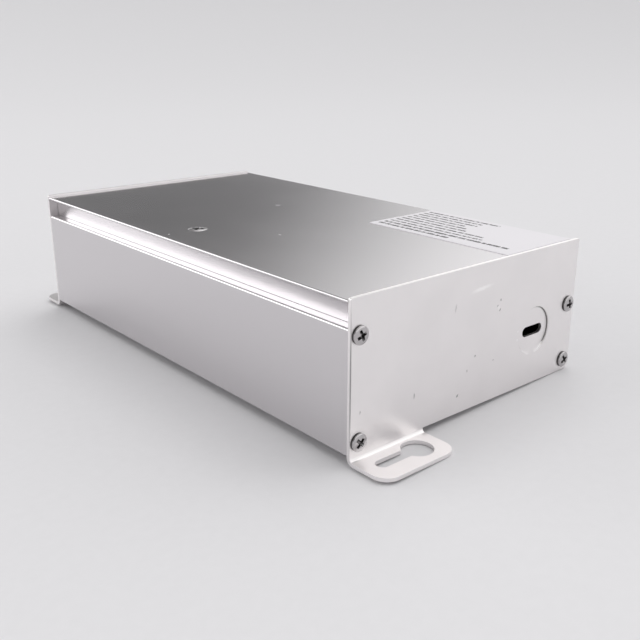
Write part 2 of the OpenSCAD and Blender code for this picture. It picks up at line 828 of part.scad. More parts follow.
// Flat sheet, fold, foot and half-sheared knockout, as the front end plate
module end_plate() {
    foot_end = -case_l / 2 - plate_t - foot_l;
    color(aluminium) difference() {
        union() {
            on_front() linear_extrude(plate_t) plate_outline();
            translate([-half_w, -case_l / 2, case_z + plate_t]) rotate([90, 0, 90])
                linear_extrude(foot_w) mirror([1, 0]) mirror([0, 1])
                    folded_section(case_z + plate_t, plate_t + foot_l, plate_t, bend_r);
            on_front() translate([knockout_x, knockout_z, -knockout_depth])
                cylinder(d = knockout_d, h = plate_t);
        }
        on_front() {
            for (at = screw_points) translate([at.x, at.y, -cut])
                cylinder(d = screw_hole_d, h = plate_t + 2 * cut);
            for (at = screw_points) translate([at.x, at.y, plate_t - seat_depth])
                cylinder(d1 = head_d, d2 = head_d + 4 * seat_reach, h = 2 * seat_depth);
            translate([knockout_x, knockout_z, plate_t - knockout_depth]) knockout_recess();
            translate([knockout_x, knockout_z, -knockout_depth - cut])
                linear_extrude(plate_t + knockout_depth + 2 * cut) slot_outline(pry_l, pry_w);
        }
        translate([0, 0, -cut]) linear_extrude(plate_t + 2 * cut) {
            keyhole_outline();
            translate([-half_w, foot_end]) corner_cut(foot_corner_r);
            translate([-half_w + foot_w, foot_end]) mirror([1, 0]) corner_cut(foot_corner_r);
        }
    }
}

module front_end_plate() {
    end_plate();
}

module rear_end_plate() {
    mirror([0, 1, 0]) end_plate();
}

module plate_screws() {
    color(steel) on_front() for (i = [0 : len(screw_points) - 1])
        translate([screw_points[i].x, screw_points[i].y, plate_t - seat_depth]) rotate(screw_turns[i])
            pan_screw(head_d, head_h, pilot_d - 2 * thread_fit, screw_l);
}

module front_plate_screws() {
    plate_screws();
}

module rear_plate_screws() {
    mirror([0, 1, 0]) plate_screws();
}

module lid_screw() {
    head_drop = (countersink_d - lid_head_d) / 2;
    cone_h = (lid_head_d - lid_screw_d) / 2;
    tip = spreader_top - spreader_t - lid_screw_out;
    color(steel) difference() {
        translate([lid_screw_x, lid_screw_y, 0]) {
            translate([0, 0, lid_top - head_drop - cone_h])
                cylinder(d1 = lid_screw_d, d2 = lid_head_d, h = cone_h);
            translate([0, 0, tip]) cylinder(d = lid_screw_d, h = lid_top - head_drop - cone_h - tip);
        }
        translate([lid_screw_x, lid_screw_y, lid_top - head_drop]) rotate(lid_screw_turn)
            cross_recess(lid_head_d, cone_h * recess_depth);
    }
}

module label() {
    color("#ebebe8") translate([half_w - label_side_gap - label_w, label_front_gap - lid_l / 2, lid_top])
        cube([label_w, label_l, label_t]);
}

// Board and its mounting

module insulating_sheet() {
    sheet_w = case_w - 2 * (screw_inset + boss_r + board_side_fit);
    color("#e6dfc6") difference() {
        translate([-sheet_w / 2, -board_l / 2, case_z + floor_t]) cube([sheet_w, board_l, sheet_t]);
        translate([earth_at.x, earth_at.y, case_z]) cylinder(d = standoff_d + 2 * sheet_fit, h = board_v);
    }
}

module circuit_board() {
    color("#2f6b3d") difference() {
        translate([-board_w / 2, -board_l / 2, board_z]) cube([board_w, board_l, board_t]);
        for (at = board_pins) translate([at.x, at.y, board_z - cut])
            cylinder(d = pin_d + 2 * pin_fit, h = board_t + 2 * cut);
        for (y = tab_ys) translate([-half_w + spreader_u - tab_fit, y - tab_l / 2 - tab_fit, board_z - cut])
            cube([spreader_t + 2 * tab_fit, tab_l + 2 * tab_fit, board_t + 2 * cut]);
        translate([earth_at.x, earth_at.y, board_z - cut])
            cylinder(d = earth_screw_d + 2 * screw_fit, h = board_t + 2 * cut);
    }
}

module earth_standoff() {
    bottom = case_z + floor_t;
    color("#c9a54a") translate([earth_at.x, earth_at.y, bottom]) difference() {
        cylinder(d = standoff_d, h = board_z - bottom);
        translate([0, 0, standoff_floor])
            cylinder(d = earth_screw_d + 2 * thread_fit, h = board_z - bottom);
    }
}

module earth_screw() {
    length = board_t + (board_v - floor_t) / 2;
    color(steel) translate([earth_at.x, earth_at.y, board_top])
        pan_screw(earth_head_d, earth_head_h, earth_screw_d, length);
}

// Heat spreader and the semiconductors clamped to it

module heat_spreader() {
    color(aluminium) difference() {
        union() {
            translate([-half_w + spreader_u, 0, board_top]) along_case(spreader_l)
                folded_section(spreader_top - board_top, spreader_flange_w, spreader_t, spreader_bend_r);
            for (y = tab_ys) translate([-half_w + spreader_u, y - tab_l / 2, board_z - pin_out])
                cube([spreader_t, tab_l, pin_out + board_t + lap]);
        }
        translate([lid_screw_x, lid_screw_y, spreader_top - spreader_t - cut])
            cylinder(d = lid_screw_d + 2 * thread_fit, h = spreader_t + 2 * cut);
        for (y = clamp_screw_ys) translate([-half_w + spreader_u - cut, y, clamp_z]) rotate([0, 90, 0])
            cylinder(d = clamp_screw_d + 2 * thread_fit, h = spreader_t + 2 * cut);
    }
}

module thermal_pad() {
    start = spreader_u + spreader_t + spreader_bend_r;
    color("#8fa9b8") difference() {
        translate([-half_w + start, -spreader_l / 2, spreader_top])
            cube([spreader_u + spreader_flange_w - start, spreader_l, pad_t]);
        translate([lid_screw_x, lid_screw_y, spreader_top - cut])
            cylinder(d = lid_screw_d + 2 * screw_fit, h = pad_t + 2 * cut);
    }
}

module insulator_strip() {
    color("#b7a9a0") difference() {
        translate([-half_w + strip_u, -spreader_l / 2, device_z]) cube([strip_t, spreader_l, device_h]);
        for (y = clamp_screw_ys) translate([-half_w + strip_u - cut, y, clamp_z]) rotate([0, 90, 0])
            cylinder(d = clamp_screw_d + 2 * screw_fit, h = strip_t + 2 * cut);
    }
}

module bridge_rectifier() {
    color("#2b2b2d") {
        device(bridge_y, bridge_w);
        pins(bridge_pins, device_lift + pin_root);
    }
}

module power_transistors() {
    color("#2b2b2d") {
        for (i = transistor_rows) device(device_y(i), device_w);
        pins(transistor_pins, device_lift + pin_root);
    }
}

module output_rectifiers() {
    color("#2b2b2d") {
        for (i = rectifier_rows) device(device_y(i), device_w);
        pins(rectifier_pins, device_lift + pin_root);
    }
}

module clamp_bar() {
    color(steel) difference() {
        translate([-half_w + clamp_u, -spreader_l / 2, clamp_z - clamp_h / 2])
            cube([clamp_t, spreader_l, clamp_h]);
        for (y = clamp_screw_ys) translate([-half_w + clamp_u - cut, y, clamp_z]) rotate([0, 90, 0])
            cylinder(d = clamp_screw_d + 2 * screw_fit, h = clamp_t + 2 * cut);
    }
}

module clamp_screws() {
    color(steel) for (y = clamp_screw_ys)
        translate([-half_w + clamp_u + clamp_t, y, clamp_z]) rotate([0, 90, 0])
            pan_screw(clamp_head_d, clamp_head_h, clamp_screw_d, clamp_u + clamp_t - spreader_u);
}

// Input side

module input_terminal_block() {
    color("#26282a") {
        on_board(in_block) terminal_block(in_poles);
        pins(in_block_pins, pin_root);
    }
}

module input_terminal_screws() {
    color(steel) on_board(in_block) terminal_screws(in_poles);
}

module fuse() {
    color("#3a3230") {
        on_board(fuse_at) translate([-fuse_l / 2, -fuse_w / 2, 0]) cube([fuse_l, fuse_w, fuse_h]);
        pins(fuse_pins, pin_root);
    }
}

module varistor() {
    color("#2f5fa8") {
        on_board(varistor_at, disc_lift) disc(varistor_d);
        pins(varistor_pins, disc_lift + disc_root);
    }
}

module thermistor() {
    color("#33403a") {
        on_board(thermistor_at, disc_lift) disc(thermistor_d);
        pins(thermistor_pins, disc_lift + disc_root);
    }
}

module filter_capacitors() {
    color("#d8b23a") {
        for (at = [x_cap_1, x_cap_2])
            on_board(at) translate([-x_cap_l / 2, -x_cap_w / 2, 0]) cube([x_cap_l, x_cap_w, x_cap_h]);
        pins(x_cap_pins, pin_root);
    }
}

module filter_choke_cores() {
    color(ferrite) for (at = [choke_1, choke_2]) on_board(at) toroid_core(choke_od, choke_id, choke_h);
}

module filter_choke_windings() {
    color(copper) {
        for (at = [choke_1, choke_2], turn = [0, 180])
            on_board(at) rotate(turn) toroid_winding(choke_od, choke_id, choke_h, choke_angle);
        pins(choke_pins, wire_t / 2);
    }
}

// Conversion

module boost_core() {
    color(ferrite) on_board(boost, core_lift) wound_core(boost_w, boost_core_d, boost_h);
}

module boost_bobbin() {
    color("#46372c") {
        on_board(boost, core_lift) wound_bobbin(boost_w, boost_core_d, boost_h);
        pins(boost_pins, pin_root);
    }
}

module boost_winding() {
    color(copper) on_board(boost, core_lift) wound_wire(boost_w, boost_h);
}

module bulk_capacitors() {
    color("#2a3140") {
        for (at = [bulk_1, bulk_2]) on_board(at) can(bulk_d, bulk_h);
        pins(bulk_pins, pin_root);
    }
}

module transformer_core() {
    color(ferrite) on_board(tx, core_lift) wound_core(tx_w, tx_core_d, tx_h);
}

module transformer_bobbin() {
    color("#46372c") {
        on_board(tx, core_lift) wound_bobbin(tx_w, tx_core_d, tx_h);
        pins(tx_pins, pin_root);
    }
}

module transformer_winding() {
    color("#d9c04a") on_board(tx, core_lift) wound_wire(tx_w, tx_h);
}

module resonant_capacitor() {
    color("#8c2f2a") {
        on_board(res_cap) translate([-res_cap_w / 2, -res_cap_l / 2, 0])
            cube([res_cap_w, res_cap_l, res_cap_h]);
        pins(res_cap_pins, pin_root);
    }
}

module safety_capacitors() {
    color("#3c6fb0") {
        for (at = [y_cap_1, y_cap_2]) on_board(at, disc_lift) disc(y_cap_d);
        pins(y_cap_pins, disc_lift + disc_root);
    }
}

module control_board() {
    color("#2f6b3d") {
        on_board(control) translate([-control_t / 2, -control_l / 2, 0])
            cube([control_t, control_l, control_h]);
        pins(control_pins, pin_root);
    }
}

module control_chips() {
    chip_ys = [-1, 0, 1] * (chip_l + chip_gap);
    color("#232325") for (y = chip_ys)
        on_board(control) translate([-control_t / 2 - chip_t, y - chip_l / 2, (control_h - chip_h) / 2])
            cube([chip_t, chip_l, chip_h]);
}

// Output side

module optocouplers() {
    color("#efece4") {
        for (at = optos) on_board(at, opto_lift) translate([-opto_w / 2, -opto_l / 2, 0])
            cube([opto_w, opto_l, opto_h]);
        pins(opto_pins, opto_lift + pin_root);
    }
}

module output_choke_core() {
    color("#c7b24a") on_board(out_choke) toroid_core(out_choke_od, out_choke_id, out_choke_h);
}

module output_choke_winding() {
    color(copper) {
        on_board(out_choke) rotate(90)
            toroid_winding(out_choke_od, out_choke_id, out_choke_h, out_choke_angle);
        pins(out_choke_pins, wire_t / 2);
    }
}

module output_capacitors() {
    color("#1f2b26") {
        for (at = out_caps) on_board(at) can(out_cap_d, out_cap_h);
        pins(out_cap_pins, pin_root);
    }
}

module output_terminal_block() {
    color("#26282a") {
        on_board(out_block) mirror([0, 1, 0]) terminal_block(out_poles);
        pins(out_block_pins, pin_root);
    }
}

module output_terminal_screws() {
    color(steel) on_board(out_block) mirror([0, 1, 0]) terminal_screws(out_poles);
}

base_channel();
lid();
front_end_plate();
rear_end_plate();
front_plate_screws();
rear_plate_screws();
lid_screw();
label();
insulating_sheet();
circuit_board();
earth_standoff();
earth_screw();
heat_spreader();
thermal_pad();
insulator_strip();
bridge_rectifier();
power_transistors();
output_rectifiers();
clamp_bar();
clamp_screws();
input_terminal_block();
input_terminal_screws();
fuse();
varistor();
thermistor();
filter_capacitors();
filter_choke_cores();
filter_choke_windings();
boost_core();
boost_bobbin();
boost_winding();
bulk_capacitors();
transformer_core();
transformer_bobbin();
transformer_winding();
resonant_capacitor();
safety_capacitors();
control_board();
control_chips();
optocouplers();
output_choke_core();
output_choke_winding();
output_capacitors();
output_terminal_block();
output_terminal_screws();
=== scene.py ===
"""Looks of an LED power supply: an extruded aluminium case, folded end plates, and the parts inside."""

import math
import random

import bmesh
import bpy
from bpy.props import FloatProperty, FloatVectorProperty, PointerProperty
from mathutils import Matrix, Vector


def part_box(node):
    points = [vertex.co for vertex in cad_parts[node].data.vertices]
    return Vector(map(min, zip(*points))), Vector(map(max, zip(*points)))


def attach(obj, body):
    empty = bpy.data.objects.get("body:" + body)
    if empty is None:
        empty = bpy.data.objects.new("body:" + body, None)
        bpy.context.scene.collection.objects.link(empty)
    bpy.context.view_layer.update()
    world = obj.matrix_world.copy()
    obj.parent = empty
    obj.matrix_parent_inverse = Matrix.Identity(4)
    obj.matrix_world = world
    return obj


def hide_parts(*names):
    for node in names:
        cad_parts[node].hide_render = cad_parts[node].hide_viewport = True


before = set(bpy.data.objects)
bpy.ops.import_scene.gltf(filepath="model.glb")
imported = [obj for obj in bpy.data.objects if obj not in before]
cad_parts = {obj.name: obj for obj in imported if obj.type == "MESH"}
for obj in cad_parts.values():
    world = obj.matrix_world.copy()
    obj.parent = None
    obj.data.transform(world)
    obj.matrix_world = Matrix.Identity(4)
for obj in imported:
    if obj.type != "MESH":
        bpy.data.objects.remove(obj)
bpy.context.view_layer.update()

bl_info = {
    "name": "Extruded Power Supply",
    "version": (1, 0, 0),
    "blender": (4, 5, 0),
    "location": "View3D > Sidebar > Power Supply",
    "description": "Finishes an LED power supply and sets it on a studio floor",
    "category": "Object",
}

MM = 0.001
BODY = "root"

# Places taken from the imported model
BASE_LOW, BASE_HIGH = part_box("base_channel")
LID_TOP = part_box("lid")[1].z
LABEL_LOW, LABEL_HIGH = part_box("label")
SHEET_THICKNESS = 1.6 * MM
PLATE_FACE = BASE_LOW.y - SHEET_THICKNESS


# Settings


def linear(hex_colour):
    """Turns an sRGB hex colour into linear red, green and blue."""
    parts = [int(hex_colour[i:i + 2], 16) / 255 for i in (1, 3, 5)]
    return tuple(c / 12.92 if c <= 0.04045 else ((c + 0.055) / 1.055) ** 2.4 for c in parts)


def colour_setting(name, description, hex_colour):
    """A colour that a user can change."""
    return FloatVectorProperty(
        name=name, description=description, subtype="COLOR", size=3, min=0, max=1,
        default=linear(hex_colour)
    )


def size_setting(name, description, millimetres):
    """A length that a user can change, given in millimetres and held in metres."""
    return FloatProperty(
        name=name, description=description, unit="LENGTH", min=0, precision=5, default=millimetres * MM
    )


class CaseFinish(bpy.types.PropertyGroup):
    """Sizes and colours of the case and its fasteners."""

    extrusion: colour_setting("Extrusion", "Clear anodised aluminium of the base and the lid", "#d7d4d6")
    sheet: colour_setting("End plates", "Aluminium sheet of the end plates", "#f4f1f1")
    nickel: colour_setting("Screws", "Nickel plating of the screws", "#bfbcbd")
    extrusion_edge: size_setting("Extrusion edge", "Radius of the base's and lid's edges", 0.3)
    plate_edge: size_setting("Plate edge", "Radius of the end plates' edges", 0.3)
    # The real lines and grain are about 0.1 mm apart, and are drawn coarser so that they show
    die_line: size_setting("Die line", "Spacing of the lines that the die leaves along the case", 0.5)
    die_streak: size_setting("Die streak", "Length over which a die line changes", 90)
    rolling_line: size_setting("Rolling line", "Spacing of the rolling grain in the sheet", 0.4)
    rolling_streak: size_setting("Rolling streak", "Length of the rolling grain in the sheet", 14)


class ScrewForm(bpy.types.PropertyGroup):
    """Sizes of the screws that show."""

    pan_width: size_setting("Pan head width", "Width of an end plate screw's head", 7.4)
    pan_rim: size_setting("Pan head rim", "Straight part of an end plate screw's rim", 1.0)
    pan_height: size_setting("Pan head height", "Height of an end plate screw's head", 1.8)
    pan_recess: size_setting("Pan head recess", "Depth of an end plate screw's recess", 1.0)
    sunk_width: size_setting("Sunk head width", "Width of the lid screw's head", 9.0)
    sunk_crown: size_setting("Sunk head crown", "Height of the lid screw's crown", 0.6)
    sunk_recess: size_setting("Sunk head recess", "Depth of the lid screw's recess", 1.6)


class LabelFinish(bpy.types.PropertyGroup):
    """Sizes and colours of the label and its plain print."""

    film: colour_setting("Film", "Printed film of the label", "#e0dde1")
    ink: colour_setting("Ink", "Grey ink of the print", "#3f3d40")
    margin: size_setting("Margin", "Free edge round the print", 2.6)
    bar_height: size_setting("Bar height", "Height of a printed bar", 1.5)
    bold_height: size_setting("Bold bar height", "Height of a bar in the first rows", 2.0)
    letter: size_setting("Letter", "Size of the breaks in a bar, as letters leave them", 0.7)
    ink_thickness: size_setting("Ink thickness", "Thickness of the ink, which lies on the film", 0.02)


class InnerFinish(bpy.types.PropertyGroup):
    """Colours of the pieces inside the case."""

    paper: colour_setting("Insulating paper", "Sheet between the board and the case", "#eee9da")
    mask: colour_setting("Solder mask", "Coating of the circuit boards", "#2f6b3a")
    brass: colour_setting("Brass", "Earth standoff", "#e1c888")
    silicone: colour_setting("Silicone", "Pad and strip that pass heat on", "#c4cdd2")
    black_epoxy: colour_setting("Black epoxy", "Bodies of rectifiers, transistors and chips", "#3a3a3b")
    nylon: colour_setting("Nylon", "Terminal blocks and the fuse's body", "#434345")
    blue_epoxy: colour_setting("Blue epoxy", "Coating of the varistor and small capacitors", "#4f7fba")
    box_resin: colour_setting("Box resin", "Cases of the filter capacitors", "#dbc25a")
    ferrite: colour_setting("Ferrite", "Cores of the chokes and the transformer", "#464648")
    core_coat: colour_setting("Core coating", "Epoxy on the output choke's core", "#d9c875")
    copper: colour_setting("Copper", "Enamelled wire of the windings", "#c48153")
    phenolic: colour_setting("Phenolic", "Bobbins", "#6f5b4f")
    tape: colour_setting("Tape", "Wrapping of the transformer's winding", "#e2d270")
    sleeve: colour_setting("Sleeve", "Sleeves of the large capacitors", "#3a4560")
    red_epoxy: colour_setting("Red epoxy", "Coating of the resonant capacitor", "#ad4f46")
    white_epoxy: colour_setting("White epoxy", "Bodies of the optocouplers", "#edeae3")


class StudioSettings(bpy.types.PropertyGroup):
    """The floor, the room's light and the camera."""

    floor: colour_setting("Floor", "Pale matt floor", "#dfdee0")
    room: colour_setting("Room", "Light of the room", "#a3a3a3")
    dark_side: colour_setting("Dark side", "Light of the room behind the part", "#404041")
    window: FloatVectorProperty(
        name="Window side", description="Light from the room's window side", subtype="COLOR", size=3,
        min=0, default=(1.25, 1.25, 1.25)
    )
    lens: FloatProperty(
        name="Lens", description="Focal length", subtype="DISTANCE_CAMERA", default=46.89
    )
    pitch: FloatProperty(
        name="Pitch", description="How far the camera looks down", subtype="ANGLE",
        default=math.radians(19.0)
    )
    heading: FloatProperty(
        name="Heading", description="How far the camera looks right of straight on", subtype="ANGLE",
        default=math.radians(40.4)
    )
    eye: FloatVectorProperty(
        name="Eye", description="Where the camera stands", subtype="XYZ", size=3, unit="LENGTH",
        default=(-258.85 * MM, -334.02 * MM, 154.05 * MM)
    )


# Helpers for materials

# Values between which most of a noise lies, and most of two noises added together
ONE_NOISE = (0.3, 0.7)
TWO_NOISES = (0.6, 1.4)
# Shares of a mark's radius at which it starts and is full
MARK_FADE = (1.0, 0.4)
# Height of a fine grain, in mm
GRAIN_DEPTH = 0.05


def add(tree, kind, sockets=None, **settings):
    """Adds a node, sets its properties, and sets or links its inputs."""
    node = tree.nodes.new("ShaderNode" + kind)
    for name, value in settings.items():
        setattr(node, name, value)
    for key, value in (sockets or {}).items():
        if isinstance(value, bpy.types.NodeSocket):
            tree.links.new(value, node.inputs[key])
        else:
            node.inputs[key].default_value = value
    return node


def close(tree, sockets, height=None, relief=(0, 0)):
    """Ends a material with its surface shader, and with a relief of a strength and a depth in mm."""
    if height is not None:
        strength, depth = relief
        bump = add(tree, "Bump", {"Height": height, "Strength": strength, "Distance": depth * MM})
        sockets = {**sockets, "Normal": bump.outputs[0]}
    shader = add(tree, "BsdfPrincipled", sockets)
    add(tree, "OutputMaterial", {"Surface": shader.outputs[0]})


def per_size(*millimetres):
    """Pattern repeats per metre, along X, Y and Z, for features of these sizes in millimetres."""
    return tuple(1 / (size * MM) for size in millimetres)


def rgba(colour, shade=1.0):
    """A colour as a socket value, made lighter or darker."""
    return (*(min(1.0, c * shade) for c in colour), 1.0)


def shades(colour, swing):
    """The darker and the lighter end of a tone that swings about a colour."""
    return {"A": rgba(colour, 1 - swing), "B": rgba(colour, 1 + swing)}


def ramp(source, target=(0.0, 1.0)):
    """The socket values that carry one range over to another."""
    return dict(zip(("From Min", "From Max", "To Min", "To Max"), (*source, *target)))


def marks(tree, place, spots):
    """A mask of small oval marks: centre and half sizes in metres, turn in radians, and strength."""
    mask = None
    for centre, size, turn, strength in spots:
        oval = {"Vector": place, "Location": centre, "Rotation": turn, "Scale": size}
        inside = add(tree, "Mapping", oval, vector_type="TEXTURE")
        reach = add(tree, "VectorMath", {0: inside.outputs[0]}, operation="LENGTH").outputs["Value"]
        spot = add(tree, "MapRange", {"Value": reach, **ramp(MARK_FADE, (0.0, strength))}).outputs[0]
        if mask is not None:
            spot = add(tree, "Math", {0: mask, 1: spot}, operation="MAXIMUM").outputs[0]
        mask = spot
    return mask


def ragged(tree, place, grain, reach):
    """A place moved about by noise, so that marks get uneven edges, with both sizes in millimetres."""
    noise = add(tree, "TexNoise", {"Vector": place, "Scale": per_size(grain)[0], "Detail": 2.0})
    centred = add(tree, "VectorMath", {0: noise.outputs["Color"], 1: (0.5,) * 3}, operation="SUBTRACT")
    return add(tree, "VectorMath", {0: centred.outputs[0], 1: (reach * MM,) * 3, 2: place},
               operation="MULTIPLY_ADD").outputs[0]


def painted_crevice_shade(tree, local, reach, clear, full):
    """A mask of painted shade in narrow corners and recesses, within a reach in millimetres of another
    face.
    """
    view = add(tree, "AmbientOcclusion", {"Distance": reach * MM}, only_local=local, samples=16)
    return add(tree, "MapRange", {"Value": view.outputs["AO"], **ramp((clear, full))}).outputs[0]


def grained(tree, colour, grain, rough, swing=0.15, **sockets):
    """One fine grain, sized in millimetres, in the colour, the gloss and the height of a surface."""
    place = add(tree, "TexCoord").outputs["Object"]
    noise = add(tree, "TexNoise", {"Vector": place, "Scale": per_size(grain)[0],
                                   "Detail": 3.0}).outputs[0]
    tone = add(tree, "Mix", {"Factor": noise, **shades(colour, swing)}, data_type="RGBA")
    gloss = add(tree, "MapRange", {"Value": noise, **ramp(ONE_NOISE, rough)})
    close(tree, {"Base Color": tone.outputs["Result"], "Roughness": gloss.outputs[0], **sockets},
          noise, (swing, GRAIN_DEPTH))


# Materials of the case

# Specks on the lid: X, Y, half length and half width in mm, turn in degrees from above, and strength
LID_SPECKS = (
    (16.0, 24.5, 1.9, 0.5, -41, 1.0), (-65.4, 2.2, 0.7, 0.5, 0, 1.0), (-26.4, -32.0, 1.4, 0.45, 90, 1.0),
)
# Nicks in the front plate: X, Z and the rest as above, with the turn as seen from the front. Each is a
# dent in the relief, painted darker as the dent's shade
PLATE_NICKS = (
    (15.4, 48.1, 0.8, 0.6, 80, 0.8), (13.6, 45.8, 0.7, 0.4, 60, 0.8), (15.2, 43.7, 1.0, 0.5, 50, 0.9),
    (0.6, 26.6, 0.7, 0.5, 60, 0.8), (-9.5, 11.3, 1.0, 0.5, 45, 1.0), (-35.8, 18.9, 1.6, 0.5, 85, 0.6),
    (12.9, 21.6, 0.7, 0.5, 0, 0.4), (-4.1, 21.1, 0.7, 0.5, 90, 0.5), (-64.9, 20.5, 1.0, 0.5, 90, 0.5),
    (-13.4, 50.2, 2.2, 0.6, 80, 0.35),
)
# Rubbed streaks on the front plate
PLATE_RUBS = (
    (2.6, 55.6, 8.0, 1.1, 5, 1.0), (14.4, 44.9, 1.2, 0.9, 70, 1.0), (29.2, 30.6, 0.7, 0.6, 0, 1.0),
    (29.3, 26.8, 1.0, 0.7, 30, 1.0),
)
MARK_DEPTH = 1.5 * MM
# The left edge of the front plate, darkened as a painted reflection of dark surroundings, as a mark
PAINTED_EDGE_REFLECTION = (
    (BASE_LOW.x, PLATE_FACE, (BASE_LOW.z + LID_TOP) / 2), (0.5 * MM, 0.5 * MM, 34 * MM), (0, 0, 0), 0.7
)
# Grain and reach, in mm, of the noise that breaks up the outlines of the marks
SPECK_OUTLINE = (0.5, 0.5)
NICK_OUTLINE = (0.8, 0.9)
# Soft haze in the anodising, and scratches in the nickel, which are coarser than real ones, in mm
CASE_HAZE = 35
SHEET_HAZE = 18
NICKEL_SCRATCH = 0.5
# How far the tone swings with the die lines and with the sheet's haze
CASE_SWING = 0.02
SHEET_SWING = 0.04
# Painted shade in corners and recesses: its reach in mm, and the shares of open view at which it starts
# and is full
SHEET_CREVICE_SHADING = (1.2, 0.9, 0.55)
NICKEL_CREVICE_SHADING = (2.0, 0.95, 0.65)
# Shades of the marks and of the painted shade, as shares of the clean metal's colour
SPECK_SHADE = 1.3
RUB_SHADE = 1.12
NICK_PAINTED_SHADE = 0.35
SHEET_PAINTED_SHADE = 0.12
NICKEL_PAINTED_SHADE = 0.22
# Roughness of the clean metals, and what a speck and a rub add to it
CASE_ROUGHNESS = (0.2, 0.23)
SHEET_ROUGHNESS = (0.32, 0.42)
NICKEL_ROUGHNESS = (0.16, 0.26)
SPECK_ROUGHNESS = 0.4
RUB_ROUGHNESS = 0.25
# Strength and depth in mm of the relief, and how deep a nick lies in it
CASE_RELIEF = (0.01, 0.02)
SHEET_RELIEF = (0.05, 0.05)
NICKEL_RELIEF = (0.05, 0.05)
NICK_DEPTH = 6.0


def on_lid(spots):
    """Places marks on the lid's top."""
    return [
        ((x * MM, y * MM, LID_TOP), (length * MM, width * MM, MARK_DEPTH),
         (0, 0, math.radians(turn)), strength)
        for x, y, length, width, turn, strength in spots
    ]


def on_plate(spots):
    """Places marks on the front plate's outer face."""
    return [
        ((x * MM, PLATE_FACE, z * MM), (length * MM, MARK_DEPTH, width * MM),
         (0, -math.radians(turn), 0), strength)
        for x, z, length, width, turn, strength in spots
    ]


def anodised_extruded_aluminium(tree, finish):
    """Aluminium, extruded and clear anodised: satin metal with die lines that smear reflections."""
    line, streak = finish.die_line / MM, finish.die_streak / MM
    place = add(tree, "TexCoord").outputs["Object"]
    stretched = add(tree, "Mapping", {"Vector": place, "Scale": per_size(line, streak, line)}).outputs[0]
    lines = add(tree, "TexNoise", {"Vector": stretched, "Scale": 1.0, "Detail": 3.0}).outputs[0]
    haze = add(tree, "TexNoise", {"Vector": place, "Scale": per_size(CASE_HAZE)[0],
                                  "Detail": 2.0}).outputs[0]
    specks = marks(tree, ragged(tree, place, *SPECK_OUTLINE), on_lid(LID_SPECKS))
    tone = add(tree, "Mix", {"Factor": lines, **shades(finish.extrusion, CASE_SWING)}, data_type="RGBA")
    colour = add(tree, "Mix", {"Factor": specks, "A": tone.outputs["Result"],
                               "B": rgba(finish.extrusion, SPECK_SHADE)}, data_type="RGBA")
    worn = add(tree, "Math", {0: lines, 1: haze}, operation="ADD").outputs[0]
    satin = add(tree, "MapRange", {"Value": worn, **ramp(TWO_NOISES, CASE_ROUGHNESS)}).outputs[0]
    rough = add(tree, "Math", {0: specks, 1: SPECK_ROUGHNESS, 2: satin}, operation="MULTIPLY_ADD")
    along = add(tree, "CombineXYZ", {"Y": 1.0})
    close(tree, {"Base Color": colour.outputs["Result"], "Metallic": 1.0, "Roughness": rough.outputs[0],
                 "Anisotropic": 0.6, "Anisotropic Rotation": 0.25, "Tangent": along.outputs[0]},
          lines, CASE_RELIEF)


def rolled_sheet_aluminium(tree, finish):
    """Aluminium sheet, rolled and clear anodised: pale satin metal with a faint grain, nicks and rubs."""
    line, streak = finish.rolling_line / MM, finish.rolling_streak / MM
    place = add(tree, "TexCoord").outputs["Object"]
    stretched = add(tree, "Mapping", {"Vector": place, "Scale": per_size(streak, line, line)}).outputs[0]
    grain = add(tree, "TexNoise", {"Vector": stretched, "Scale": 1.0, "Detail": 3.0}).outputs[0]
    haze = add(tree, "TexNoise", {"Vector": place, "Scale": per_size(SHEET_HAZE)[0],
                                  "Detail": 3.0}).outputs[0]
    uneven = ragged(tree, place, *NICK_OUTLINE)
    rubs = marks(tree, uneven, on_plate(PLATE_RUBS))
    nicks = marks(tree, uneven, on_plate(PLATE_NICKS))
    # A painted dark reflection along the front plate's left edge
    edge_reflection = marks(tree, place, [PAINTED_EDGE_REFLECTION])
    # Painted shade in narrow corners and recesses, joined with the painted dark reflection on the left
    # edge
    painted_dark = add(tree, "Math", {0: painted_crevice_shade(tree, True, *SHEET_CREVICE_SHADING), 1: edge_reflection},
               operation="MAXIMUM").outputs[0]
    tone = add(tree, "Mix", {"Factor": haze, **shades(finish.sheet, SHEET_SWING)}, data_type="RGBA")
    # Rubs are lighter; the nicks' darker colour is painted shade of their dents, and the last mix lays on
    # the painted shade and reflection
    for mask, shade in ((rubs, RUB_SHADE), (nicks, NICK_PAINTED_SHADE), (painted_dark, SHEET_PAINTED_SHADE)):
        clean, marked = tone.outputs["Result"], rgba(finish.sheet, shade)
        tone = add(tree, "Mix", {"Factor": mask, "A": clean, "B": marked}, data_type="RGBA")
    worn = add(tree, "Math", {0: grain, 1: haze}, operation="ADD").outputs[0]
    satin = add(tree, "MapRange", {"Value": worn, **ramp(TWO_NOISES, SHEET_ROUGHNESS)}).outputs[0]
    rough = add(tree, "Math", {0: rubs, 1: RUB_ROUGHNESS, 2: satin}, operation="MULTIPLY_ADD")
    height = add(tree, "Math", {0: nicks, 1: -NICK_DEPTH, 2: grain}, operation="MULTIPLY_ADD").outputs[0]
    close(tree, {"Base Color": tone.outputs["Result"], "Metallic": 1.0, "Roughness": rough.outputs[0]},
          height, SHEET_RELIEF)


